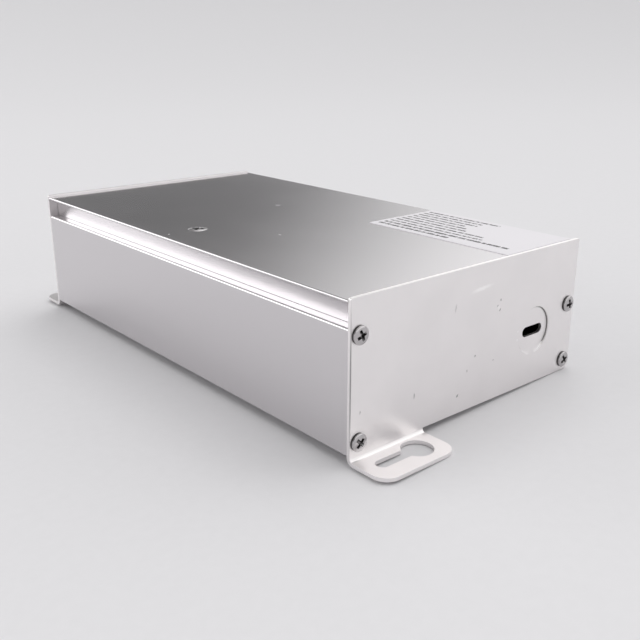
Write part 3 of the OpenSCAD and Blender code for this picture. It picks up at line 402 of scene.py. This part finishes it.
def nickel_plated_steel(tree, finish):
    """Steel, nickel plated: a darker, glossier metal, with painted shade in its recess and narrow
    corners.
    """
    place = add(tree, "TexCoord").outputs["Object"]
    scratches = add(tree, "TexNoise", {"Vector": place, "Scale": per_size(NICKEL_SCRATCH)[0],
                                       "Detail": 3.0}).outputs[0]
    # Painted shade darkens the head's recess and the corners where it meets the plate
    tone = add(tree, "Mix", {"Factor": painted_crevice_shade(tree, False, *NICKEL_CREVICE_SHADING), "A": rgba(finish.nickel),
                             "B": rgba(finish.nickel, NICKEL_PAINTED_SHADE)}, data_type="RGBA")
    gloss = add(tree, "MapRange", {"Value": scratches, **ramp(ONE_NOISE, NICKEL_ROUGHNESS)})
    close(tree, {"Base Color": tone.outputs["Result"], "Metallic": 1.0, "Roughness": gloss.outputs[0]},
          scratches, NICKEL_RELIEF)


# Materials of the label

# Values of the noise between which the ink breaks up
INK_BREAKS = (0.5, 0.75)


def matt_polyester_film(tree, label):
    """Polyester label film, matt coated: an even white with a faint fleck."""
    grained(tree, label.film, grain=0.6, rough=(0.42, 0.55), swing=0.04, IOR=1.55)


def printed_ink(tree, label):
    """Thermal-transfer ink: a thin matt grey, broken up as small letters would be."""
    place = add(tree, "TexCoord").outputs["Object"]
    breaks = add(tree, "TexNoise", {"Vector": place, "Scale": 1 / label.letter,
                                    "Detail": 1.0}).outputs[0]
    share = add(tree, "MapRange", {"Value": breaks, **ramp(INK_BREAKS)}).outputs[0]
    tone = add(tree, "Mix", {"Factor": share, "A": rgba(label.ink), "B": rgba(label.film)},
               data_type="RGBA")
    close(tree, {"Base Color": tone.outputs["Result"], "Roughness": 0.6, "IOR": 1.5})


# Materials of the pieces inside, whose finest grains are drawn coarser than real ones so that they show

# Two threads of the laminate's cloth, in mm, and the scale at which Blender's wave repeats once a unit
THREAD_PAIR = 1.0
WAVE_UNIT = 2 * math.pi / 20
# How far the mask's tone swings with the weave, its roughness, and its relief's strength and depth in mm
MASK_SWING = 0.1
MASK_ROUGHNESS = (0.22, 0.32)
MASK_RELIEF = (0.05, 0.02)


def pressed_insulating_paper(tree, inner):
    """Pressed paper board: a dull cream with short fibres."""
    grained(tree, inner.paper, grain=0.8, rough=(0.75, 0.9), IOR=1.5)


def solder_masked_laminate(tree, inner):
    """Glass laminate under green solder mask: a glossy coat over a faint square weave."""
    place = add(tree, "TexCoord").outputs["Object"]
    fineness = per_size(THREAD_PAIR)[0] * WAVE_UNIT
    warp, weft = (
        add(tree, "TexWave", {"Vector": place, "Scale": fineness}, bands_direction=axis).outputs[0]
        for axis in ("X", "Y")
    )
    weave = add(tree, "Math", {0: warp, 1: weft}, operation="ADD").outputs[0]
    tone = add(tree, "Mix", {"Factor": weave, **shades(inner.mask, MASK_SWING)}, data_type="RGBA")
    gloss = add(tree, "MapRange", {"Value": weave, **ramp((0.0, 2.0), MASK_ROUGHNESS)})
    close(tree, {"Base Color": tone.outputs["Result"], "Roughness": gloss.outputs[0], "IOR": 1.55},
          weave, MASK_RELIEF)


def turned_brass(tree, inner):
    """Brass, turned: a bright yellow metal with fine tool marks."""
    grained(tree, inner.brass, grain=0.3, rough=(0.2, 0.32), Metallic=1.0)


def filled_silicone(tree, inner):
    """Silicone filled with powder, cast in sheet: a dull grey that scatters light."""
    grained(tree, inner.silicone, grain=0.2, rough=(0.65, 0.8), IOR=1.43)


def moulded_black_epoxy(tree, inner):
    """Epoxy with mineral filler, moulded: a dark grey, slightly sparkling skin."""
    grained(tree, inner.black_epoxy, grain=0.15, rough=(0.4, 0.6), IOR=1.55)


def moulded_nylon(tree, inner):
    """Nylon, moulded: a dull black with a fine eroded grain."""
    grained(tree, inner.nylon, grain=0.25, rough=(0.45, 0.6), IOR=1.53)


def dipped_blue_epoxy(tree, inner):
    """Epoxy, dipped and baked: a glossy blue coat with soft waves."""
    grained(tree, inner.blue_epoxy, grain=1.5, rough=(0.2, 0.35), IOR=1.55)


def moulded_capacitor_box(tree, inner):
    """Polyester resin, moulded in a box: a clean satin yellow."""
    grained(tree, inner.box_resin, grain=0.4, rough=(0.3, 0.42), IOR=1.54)


def sintered_ferrite(tree, inner):
    """Ferrite, sintered and ground: a dark ceramic with a dull mineral grain."""
    grained(tree, inner.ferrite, grain=0.3, rough=(0.5, 0.7), IOR=1.8)


def coated_iron_powder(tree, inner):
    """Iron powder core under baked epoxy: a satin yellow coat that follows the pressed grain."""
    grained(tree, inner.core_coat, grain=0.5, rough=(0.35, 0.5), IOR=1.55)


def enamelled_copper_wire(tree, inner):
    """Copper wire, enamelled: a warm metal under a clear coat."""
    grained(tree, inner.copper, grain=0.6, rough=(0.25, 0.4), Metallic=1.0, **{"Coat Weight": 0.5})


def moulded_phenolic(tree, inner):
    """Phenolic resin, moulded: a brown with a dull, floury grain."""
    grained(tree, inner.phenolic, grain=0.3, rough=(0.45, 0.6), IOR=1.6)


def wrapped_polyester_tape(tree, inner):
    """Polyester tape, wrapped: a glossy yellow film with small waves."""
    grained(tree, inner.tape, grain=2.0, rough=(0.2, 0.35), IOR=1.58)


def shrunk_vinyl_sleeve(tree, inner):
    """Vinyl sleeve, shrunk on: a smooth dark blue gloss."""
    grained(tree, inner.sleeve, grain=1.0, rough=(0.22, 0.34), IOR=1.53)


def dipped_red_epoxy(tree, inner):
    """Epoxy, dipped and baked: a glossy brick red with soft waves."""
    grained(tree, inner.red_epoxy, grain=1.5, rough=(0.2, 0.35), IOR=1.55)


def moulded_white_epoxy(tree, inner):
    """White epoxy, moulded: a dull, even body."""
    grained(tree, inner.white_epoxy, grain=0.2, rough=(0.45, 0.6), IOR=1.55)


def made(finish, settings):
    """The material of a finish function, named after it and made the first time it is asked for."""
    material = bpy.data.materials.get(finish.__name__)
    if material is None:
        material = bpy.data.materials.new(finish.__name__)
        material.use_nodes = True
        material.node_tree.nodes.clear()
        finish(material.node_tree, settings)
    return material


def dress(finish, settings, *nodes):
    """Gives CAD nodes a material."""
    for node in nodes:
        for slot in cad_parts[node].material_slots:
            slot.link = "OBJECT"
            slot.material = made(finish, settings)


# Edges of the CAD nodes

# Points this close are one, faces this near to flat are one, and edges this sharp are rounded
WELD_REACH = 0.001 * MM
FLAT_FACE = math.radians(0.5)
SHARP_EDGE = math.radians(40)
EDGE_STEPS = 3


def outer_edges():
    """Geometry nodes that shade faces smooth and mark sharp outer edges, but not inner corners."""
    name = "outer_edges"
    if name in bpy.data.node_groups:
        return bpy.data.node_groups[name]
    group = bpy.data.node_groups.new(name, "GeometryNodeTree")
    for side in ("INPUT", "OUTPUT"):
        group.interface.new_socket("Geometry", in_out=side, socket_type="NodeSocketGeometry")
    kinds = ("NodeGroupInput", "GeometryNodeSetShadeSmooth", "GeometryNodeInputMeshEdgeAngle",
             "FunctionNodeCompare", "GeometryNodeStoreNamedAttribute", "NodeGroupOutput")
    start, shade, angle, sharp, mark, end = (group.nodes.new(kind) for kind in kinds)
    sharp.operation = "GREATER_THAN"
    sharp.inputs["B"].default_value = SHARP_EDGE
    mark.domain = "EDGE"
    mark.inputs["Name"].default_value = "bevel_weight_edge"
    group.links.new(start.outputs[0], shade.inputs["Geometry"])
    group.links.new(shade.outputs[0], mark.inputs["Geometry"])
    group.links.new(angle.outputs["Signed Angle"], sharp.inputs["A"])
    group.links.new(sharp.outputs[0], mark.inputs["Value"])
    group.links.new(mark.outputs[0], end.inputs[0])
    return group


def soften_edges(radius, *nodes):
    """Rounds the outer edges of CAD nodes with modifiers, and leaves their own meshes as they are."""
    for node in nodes:
        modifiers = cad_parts[node].modifiers
        weld = modifiers.new("weld", "WELD")
        weld.merge_threshold = WELD_REACH
        flat = modifiers.new("flat_faces", "DECIMATE")
        flat.decimate_type = "DISSOLVE"
        flat.angle_limit = FLAT_FACE
        marked = modifiers.new("outer_edges", "NODES")
        marked.node_group = outer_edges()
        bevel = modifiers.new("edges", "BEVEL")
        bevel.width = radius
        bevel.segments = EDGE_STEPS
        bevel.limit_method = "WEIGHT"
        bevel.miter_outer = "MITER_ARC"
        bevel.harden_normals = True
        normals = modifiers.new("normals", "WEIGHTED_NORMAL")
        normals.keep_sharp = True


# New pieces


def placed(context, name, form, material=None):
    """Puts a form into the scene as an object with a material."""
    mesh = bpy.data.meshes.new(name)
    form.to_mesh(mesh)
    form.free()
    if material is not None:
        mesh.materials.append(material)
    piece = bpy.data.objects.new(name, mesh)
    context.scene.collection.objects.link(piece)
    return piece


def turned(outline, steps):
    """A form that is spun from an outline of radius and height pairs about Z, as a lathe does."""
    form = bmesh.new()
    points = [form.verts.new((radius, 0, height)) for radius, height in outline]
    lines = [form.edges.new(pair) for pair in zip(points, points[1:])]
    bmesh.ops.spin(form, geom=points + lines, axis=(0, 0, 1), cent=(0, 0, 0), steps=steps,
                   angle=2 * math.pi, use_merge=True)
    return form


# Screws on a plate: X and Z in mm, and the recess's turn in degrees
PLATE_SCREWS = ((-65.5, 51.45, 22), (-65.5, 8.6, 45), (65.5, 36.0, 8), (65.5, 8.6, 30))
# The screw in the lid: X and Y in mm, and the recess's turn in degrees
LID_SCREW = (-49.3, 2.5, 35)
# Plate screws: their piece, the node it stands for, and 1 for the front plate or -1 for the rear
PLATE_SETS = (("front_screws", "front_plate_screws", 1), ("rear_screws", "rear_plate_screws", -1))
# Radius and length of the shanks, and how far the heads sit below the faces
PLATE_SHANK = (1.7 * MM, 12.0 * MM)
LID_SHANK = (2.0 * MM, 6.9 * MM)
PLATE_SEAT = 0.4 * MM
LID_SEAT = 0.1 * MM
# Curve of a head's crown, where 2 is an ellipse, and the steps along it and round the head
CROWN_FULLNESS = 2.0
CROWN_STEPS = 14
HEAD_STEPS = 72
# Cross recess: span and slot at its mouth and at its bottom, as shares of the head's width
RECESS_MOUTH = (0.7, 0.19)
RECESS_BOTTOM = (0.34, 0.1)
HEAD_SHARP = math.radians(35)


def crown(width, rim, height):
    """The outline of a head's top from its rim to its middle, as radius and height pairs."""
    power = 2 / CROWN_FULLNESS
    angles = [math.pi / 2 * step / CROWN_STEPS for step in range(CROWN_STEPS)]
    curve = [(width / 2 * math.cos(a) ** power, rim + (height - rim) * math.sin(a) ** power)
             for a in angles]
    return [*curve, (0.0, height)]


def recess_punch(width, top, depth):
    """The tapered cross that punches a recess."""
    form = bmesh.new()
    rings = []
    levels = ((RECESS_BOTTOM, top - depth), (RECESS_MOUTH, top), (RECESS_MOUTH, top + depth))
    for (span, slot), height in levels:
        arm, side = span * width / 2, slot * width / 2
        quarter = [Vector((x, y, height)) for x, y in ((arm, -side), (arm, side), (side, side))]
        rings.append([form.verts.new(Matrix.Rotation(turn * math.pi / 2, 4, "Z") @ corner)
                      for turn in range(4) for corner in quarter])
    for low, high in zip(rings, rings[1:]):
        for corners in zip(low, low[1:] + low[:1], high[1:] + high[:1], high):
            form.faces.new(corners)
    form.faces.new(reversed(rings[0]))
    form.faces.new(rings[-1])
    return form


def screw(context, outline, width, depth):
    """A turned screw with a cross recess, upright, as a mesh."""
    blank = turned(outline, HEAD_STEPS)
    bmesh.ops.remove_doubles(blank, verts=blank.verts[:], dist=WELD_REACH)
    bmesh.ops.recalc_face_normals(blank, faces=blank.faces[:])
    body = placed(context, "screw_blank", blank)
    top = max(height for _, height in outline)
    punch = placed(context, "recess_punch", recess_punch(width, top, depth))
    recess = body.modifiers.new("recess", "BOOLEAN")
    recess.object, recess.operation, recess.solver = punch, "DIFFERENCE", "EXACT"
    mesh = bpy.data.meshes.new_from_object(body.evaluated_get(context.evaluated_depsgraph_get()))
    for tool in (body, punch):
        bpy.data.objects.remove(tool)
    return mesh


def set_screws(context, name, node, upright, places, finish):
    """Sets copies of a screw at their places, as one piece that stands for a CAD node."""
    form = bmesh.new()
    for place in places:
        copy = upright.copy()
        copy.transform(place)
        form.from_mesh(copy)
        bpy.data.meshes.remove(copy)
    piece = placed(context, name, form, made(nickel_plated_steel, finish))
    piece.data.shade_smooth()
    piece.data.set_sharp_from_angle(angle=HEAD_SHARP)
    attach(piece, BODY)
    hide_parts(node)


# Operators


class POWERSUPPLY_OT_case(bpy.types.Operator):
    """Finish the base and the lid as anodised extrusions"""

    bl_idname = "powersupply.case"
    bl_label = "Case extrusions"

    def execute(self, context):
        finish = context.scene.supply_case
        dress(anodised_extruded_aluminium, finish, "base_channel", "lid")
        soften_edges(finish.extrusion_edge, "base_channel", "lid")
        return {"FINISHED"}


class POWERSUPPLY_OT_plates(bpy.types.Operator):
    """Finish the folded end plates"""

    bl_idname = "powersupply.plates"
    bl_label = "End plates"

    def execute(self, context):
        finish = context.scene.supply_case
        dress(rolled_sheet_aluminium, finish, "front_end_plate", "rear_end_plate")
        soften_edges(finish.plate_edge, "front_end_plate", "rear_end_plate")
        return {"FINISHED"}


class POWERSUPPLY_OT_screws(bpy.types.Operator):
    """Turn the screws that show, with crowned heads and tapered recesses"""

    bl_idname = "powersupply.screws"
    bl_label = "Case screws"

    def execute(self, context):
        finish, sizes = context.scene.supply_case, context.scene.supply_screws
        radius, length = PLATE_SHANK
        outline = [(0.0, -length), (radius, -length), (radius, 0.0), (sizes.pan_width / 2, 0.0),
                   *crown(sizes.pan_width, sizes.pan_rim, sizes.pan_height)]
        pan = screw(context, outline, sizes.pan_width, sizes.pan_recess)
        for name, node, side in PLATE_SETS:
            places = [self.plate_place(side, *spot) for spot in PLATE_SCREWS]
            set_screws(context, name, node, pan, places, finish)
        radius, length = LID_SHANK
        outline = [(0.0, -length), (radius, -length), (radius, radius - sizes.sunk_width / 2),
                   *crown(sizes.sunk_width, 0.0, sizes.sunk_crown)]
        sunk = screw(context, outline, sizes.sunk_width, sizes.sunk_recess)
        set_screws(context, "lid_sunk_screw", "lid_screw", sunk, [self.lid_place(*LID_SCREW)], finish)
        return {"FINISHED"}

    @staticmethod
    def plate_place(side, x, z, turn):
        """Where a screw sits on an end plate."""
        seat = Matrix.Translation((x * MM, side * (PLATE_FACE + PLATE_SEAT), z * MM))
        upright = Matrix.Rotation(side * math.pi / 2, 4, "X")
        return seat @ upright @ Matrix.Rotation(math.radians(turn), 4, "Z")

    @staticmethod
    def lid_place(x, y, turn):
        """Where a screw sits on the lid."""
        seat = Matrix.Translation((x * MM, y * MM, LID_TOP - LID_SEAT))
        return seat @ Matrix.Rotation(math.radians(turn), 4, "Z")


# Rows of the print across the label, each with its share of the label's length
PRINT_ROWS = (0.53, 0.90, 0.68, 0.65, 0.49, 0.45, 0.40, 0.45, 0.45, 0.54)
BOLD_ROWS = 2
# Shortest and longest word, and the gap between words, in mm
WORD_LENGTHS = (1.8, 8.0)
WORD_GAP = 0.8
PRINT_SEED = 7


class POWERSUPPLY_OT_label(bpy.types.Operator):
    """Finish the label and print rows of plain bars on it"""

    bl_idname = "powersupply.label"
    bl_label = "Label"

    def execute(self, context):
        label = context.scene.supply_label
        dress(matt_polyester_film, label, "label")
        drawn = random.Random(PRINT_SEED)
        form = bmesh.new()
        free = LABEL_HIGH.x - LABEL_LOW.x - 2 * label.margin
        length = LABEL_HIGH.y - LABEL_LOW.y
        for row, share in enumerate(PRINT_ROWS):
            across = LABEL_LOW.x + label.margin + free * (row + 0.5) / len(PRINT_ROWS)
            height = label.bold_height if row < BOLD_ROWS else label.bar_height
            y = LABEL_HIGH.y - label.margin
            end = max(y - share * length, LABEL_LOW.y + label.margin)
            while y > end:
                low = max(y - drawn.uniform(*WORD_LENGTHS) * MM, end)
                self.bar(form, (across, (y + low) / 2), (height, y - low), label.ink_thickness)
                y = low - WORD_GAP * MM
        printed = placed(context, "label_print", form, made(printed_ink, label))
        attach(printed, BODY)
        return {"FINISHED"}

    @staticmethod
    def bar(form, centre, size, thickness):
        """One printed bar on the label, as a thin box."""
        verts = bmesh.ops.create_cube(form, size=1.0)["verts"]
        bmesh.ops.scale(form, vec=(*size, thickness), verts=verts)
        bmesh.ops.translate(form, vec=(*centre, LABEL_HIGH.z + thickness / 2), verts=verts)


class POWERSUPPLY_OT_boards(bpy.types.Operator):
    """Finish the circuit boards, their small parts and the sheet and standoff under them"""

    bl_idname = "powersupply.boards"
    bl_label = "Circuit boards"

    def execute(self, context):
        inner = context.scene.supply_inner
        dress(pressed_insulating_paper, inner, "insulating_sheet")
        dress(solder_masked_laminate, inner, "circuit_board", "control_board")
        dress(turned_brass, inner, "earth_standoff")
        dress(nickel_plated_steel, context.scene.supply_case, "earth_screw")
        dress(moulded_black_epoxy, inner, "control_chips")
        dress(moulded_white_epoxy, inner, "optocouplers")
        return {"FINISHED"}


class POWERSUPPLY_OT_cooling(bpy.types.Operator):
    """Finish the heat spreader and the parts that are clamped to it"""

    bl_idname = "powersupply.cooling"
    bl_label = "Heat spreader"

    def execute(self, context):
        inner, case = context.scene.supply_inner, context.scene.supply_case
        dress(rolled_sheet_aluminium, case, "heat_spreader")
        dress(filled_silicone, inner, "thermal_pad", "insulator_strip")
        dress(nickel_plated_steel, case, "clamp_bar", "clamp_screws")
        dress(moulded_black_epoxy, inner, "bridge_rectifier", "power_transistors", "output_rectifiers")
        return {"FINISHED"}


class POWERSUPPLY_OT_input(bpy.types.Operator):
    """Finish the input terminals and the mains filter"""

    bl_idname = "powersupply.input"
    bl_label = "Input side"

    def execute(self, context):
        inner = context.scene.supply_inner
        dress(moulded_nylon, inner, "input_terminal_block", "fuse")
        dress(nickel_plated_steel, context.scene.supply_case, "input_terminal_screws")
        dress(dipped_blue_epoxy, inner, "varistor", "safety_capacitors")
        dress(moulded_black_epoxy, inner, "thermistor")
        dress(moulded_capacitor_box, inner, "filter_capacitors")
        dress(sintered_ferrite, inner, "filter_choke_cores")
        dress(enamelled_copper_wire, inner, "filter_choke_windings")
        return {"FINISHED"}


class POWERSUPPLY_OT_converter(bpy.types.Operator):
    """Finish the boost inductor, the bulk capacitors and the transformer"""

    bl_idname = "powersupply.converter"
    bl_label = "Converter"

    def execute(self, context):
        inner = context.scene.supply_inner
        dress(sintered_ferrite, inner, "boost_core", "transformer_core")
        dress(moulded_phenolic, inner, "boost_bobbin", "transformer_bobbin")
        dress(enamelled_copper_wire, inner, "boost_winding")
        dress(wrapped_polyester_tape, inner, "transformer_winding")
        dress(shrunk_vinyl_sleeve, inner, "bulk_capacitors")
        dress(dipped_red_epoxy, inner, "resonant_capacitor")
        return {"FINISHED"}


class POWERSUPPLY_OT_output(bpy.types.Operator):
    """Finish the output choke, its capacitors and the output terminals"""

    bl_idname = "powersupply.output"
    bl_label = "Output side"

    def execute(self, context):
        inner = context.scene.supply_inner
        dress(coated_iron_powder, inner, "output_choke_core")
        dress(enamelled_copper_wire, inner, "output_choke_winding")
        dress(shrunk_vinyl_sleeve, inner, "output_capacitors")
        dress(moulded_nylon, inner, "output_terminal_block")
        dress(nickel_plated_steel, context.scene.supply_case, "output_terminal_screws")
        return {"FINISHED"}


# Floor: where it meets the feet's inner edges in X, and its flat radius and the rim's curve, in metres
FLOOR_REST_X = -30 * MM
FLOOR_FLAT = 1.2
FLOOR_RIM = 4.0
FLOOR_SWEEP = math.radians(23)
FLOOR_STEPS = 12
FLOOR_SIDES = 96
# Grain of the floor's paper in mm, drawn coarser than the real one so that it shows
FLOOR_GRAIN = 4
# Sides of the room that differ: bearing and height in degrees, and cosines where each fades in
DARK_SIDE = (33, -20, 0.766, 0.866)
WINDOW_SIDE = (82, 38, 0.65, 0.88)
# Heights in degrees between which the pale backdrop at the horizon gives way to the room
HORIZON = (5.5, 7.5)
# Softboxes: name, bearing and height in degrees, distance, width and depth in metres, power in watts
LAMPS = (
    ("overhead_softbox", 180, 89, 3.0, 4.0, 4.0, 43.0),
    ("left_softbox", -42, 19, 5.0, 6.0, 2.3, 92.0),
    ("front_softbox", 157, 17, 5.0, 7.0, 2.4, 48.0),
)
# Camera: width of its sensor in mm, and the nearest that it sees in metres
SENSOR_WIDTH = 36
NEAREST = 0.01


def towards(bearing, height):
    """The direction that lies at a bearing from +Y towards +X and a height, both in degrees."""
    turn, lift = math.radians(bearing), math.radians(height)
    return Vector((math.sin(turn) * math.cos(lift), math.cos(turn) * math.cos(lift), math.sin(lift)))


def matt_paper_floor(tree, studio):
    """Matt paper: an even pale grey with no gloss."""
    grained(tree, studio.floor, grain=FLOOR_GRAIN, rough=(0.85, 0.95), swing=0.02,
            **{"Specular IOR Level": 0.2})


class POWERSUPPLY_OT_stage(bpy.types.Operator):
    """Set the floor, the lamps and the camera"""

    bl_idname = "powersupply.stage"
    bl_label = "Stage"

    def execute(self, context):
        studio = context.scene.supply_studio
        self.floor(context, studio)
        self.room(context, studio)
        for lamp in LAMPS:
            self.lamp(context, *lamp)
        self.camera(context, studio)
        context.scene.view_settings.view_transform = "Standard"
        return {"FINISHED"}

    @staticmethod
    def floor(context, studio):
        """A wide floor with a raised rim, tilted to meet the feet and the far lower edge."""
        rise = BASE_LOW.z / (BASE_HIGH.x - FLOOR_REST_X)
        angles = [FLOOR_SWEEP * step / FLOOR_STEPS for step in range(FLOOR_STEPS + 1)]
        rim = [(FLOOR_FLAT + FLOOR_RIM * math.sin(a), FLOOR_RIM * (1 - math.cos(a))) for a in angles]
        form = turned([(0.0, 0.0), *rim], FLOOR_SIDES)
        for vert in form.verts:
            vert.co.z += (vert.co.x - FLOOR_REST_X) * rise
        floor = placed(context, "floor", form, made(matt_paper_floor, studio))
        floor.data.shade_smooth()

    @staticmethod
    def room(context, studio):
        """Plain light over a pale backdrop, dimmer behind the part and brighter on the window side."""
        world = bpy.data.worlds.new("studio_room")
        world.use_nodes = True
        tree = world.node_tree
        tree.nodes.clear()
        view = add(tree, "TexCoord").outputs["Generated"]
        light = rgba(studio.room)
        for side, colour in ((DARK_SIDE, studio.dark_side), (WINDOW_SIDE, studio.window)):
            bearing, height, *fade = side
            facing = add(tree, "VectorMath", {0: view, 1: towards(bearing, height)},
                         operation="DOT_PRODUCT").outputs["Value"]
            share = add(tree, "MapRange", {"Value": facing, **ramp(fade)},
                        interpolation_type="SMOOTHSTEP").outputs[0]
            light = add(tree, "Mix", {"Factor": share, "A": light, "B": (*colour, 1.0)},
                        data_type="RGBA").outputs["Result"]
        level = add(tree, "SeparateXYZ", {"Vector": view}).outputs["Z"]
        fade = [math.sin(math.radians(angle)) for angle in HORIZON]
        share = add(tree, "MapRange", {"Value": level, **ramp(fade)},
                    interpolation_type="SMOOTHSTEP").outputs[0]
        light = add(tree, "Mix", {"Factor": share, "A": rgba(studio.floor), "B": light},
                    data_type="RGBA").outputs["Result"]
        back = add(tree, "Background", {"Color": light, "Strength": 1.0})
        add(tree, "OutputWorld", {"Surface": back.outputs[0]})
        context.scene.world = world

    @staticmethod
    def lamp(context, name, bearing, height, distance, width, depth, power):
        """A softbox that faces the part."""
        data = bpy.data.lights.new(name, "AREA")
        data.shape = "RECTANGLE"
        data.size, data.size_y = width, depth
        data.energy = power
        lamp = bpy.data.objects.new(name, data)
        lamp.location = towards(bearing, height) * distance
        lamp.rotation_euler = (-towards(bearing, height)).to_track_quat("-Z", "Y").to_euler()
        context.scene.collection.objects.link(lamp)

    @staticmethod
    def camera(context, studio):
        """The camera that takes the main view."""
        camera = bpy.data.objects.new("camera", bpy.data.cameras.new("camera"))
        camera.data.lens = studio.lens
        camera.data.sensor_width = SENSOR_WIDTH
        camera.data.clip_start = NEAREST
        camera.location = studio.eye
        camera.rotation_euler = (math.pi / 2 - studio.pitch, 0, -studio.heading)
        context.scene.collection.objects.link(camera)
        context.scene.camera = camera


class POWERSUPPLY_PT_panel(bpy.types.Panel):
    """The steps, in order"""

    bl_idname = "POWERSUPPLY_PT_panel"
    bl_label = "Power Supply"
    bl_space_type = "VIEW_3D"
    bl_region_type = "UI"
    bl_category = "Power Supply"

    def draw(self, context):
        for step in STEPS:
            self.layout.operator(step.bl_idname)


STEPS = (
    POWERSUPPLY_OT_stage,
    POWERSUPPLY_OT_case,
    POWERSUPPLY_OT_plates,
    POWERSUPPLY_OT_screws,
    POWERSUPPLY_OT_label,
    POWERSUPPLY_OT_boards,
    POWERSUPPLY_OT_cooling,
    POWERSUPPLY_OT_input,
    POWERSUPPLY_OT_converter,
    POWERSUPPLY_OT_output,
)
SETTINGS = {
    "supply_case": CaseFinish,
    "supply_screws": ScrewForm,
    "supply_label": LabelFinish,
    "supply_inner": InnerFinish,
    "supply_studio": StudioSettings,
}
CLASSES = (*SETTINGS.values(), *STEPS, POWERSUPPLY_PT_panel)


def register():
    """Makes the classes and settings known to Blender."""
    for cls in CLASSES:
        bpy.utils.register_class(cls)
    for name, group in SETTINGS.items():
        setattr(bpy.types.Scene, name, PointerProperty(type=group))


def unregister():
    """Takes the settings and classes back out of Blender."""
    for name in SETTINGS:
        delattr(bpy.types.Scene, name)
    for cls in reversed(CLASSES):
        bpy.utils.unregister_class(cls)


def main():
    """Makes the looks in order."""
    register()
    for step in STEPS:
        group, name = step.bl_idname.split(".")
        getattr(getattr(bpy.ops, group), name)()


if __name__ == "__main__":
    main()
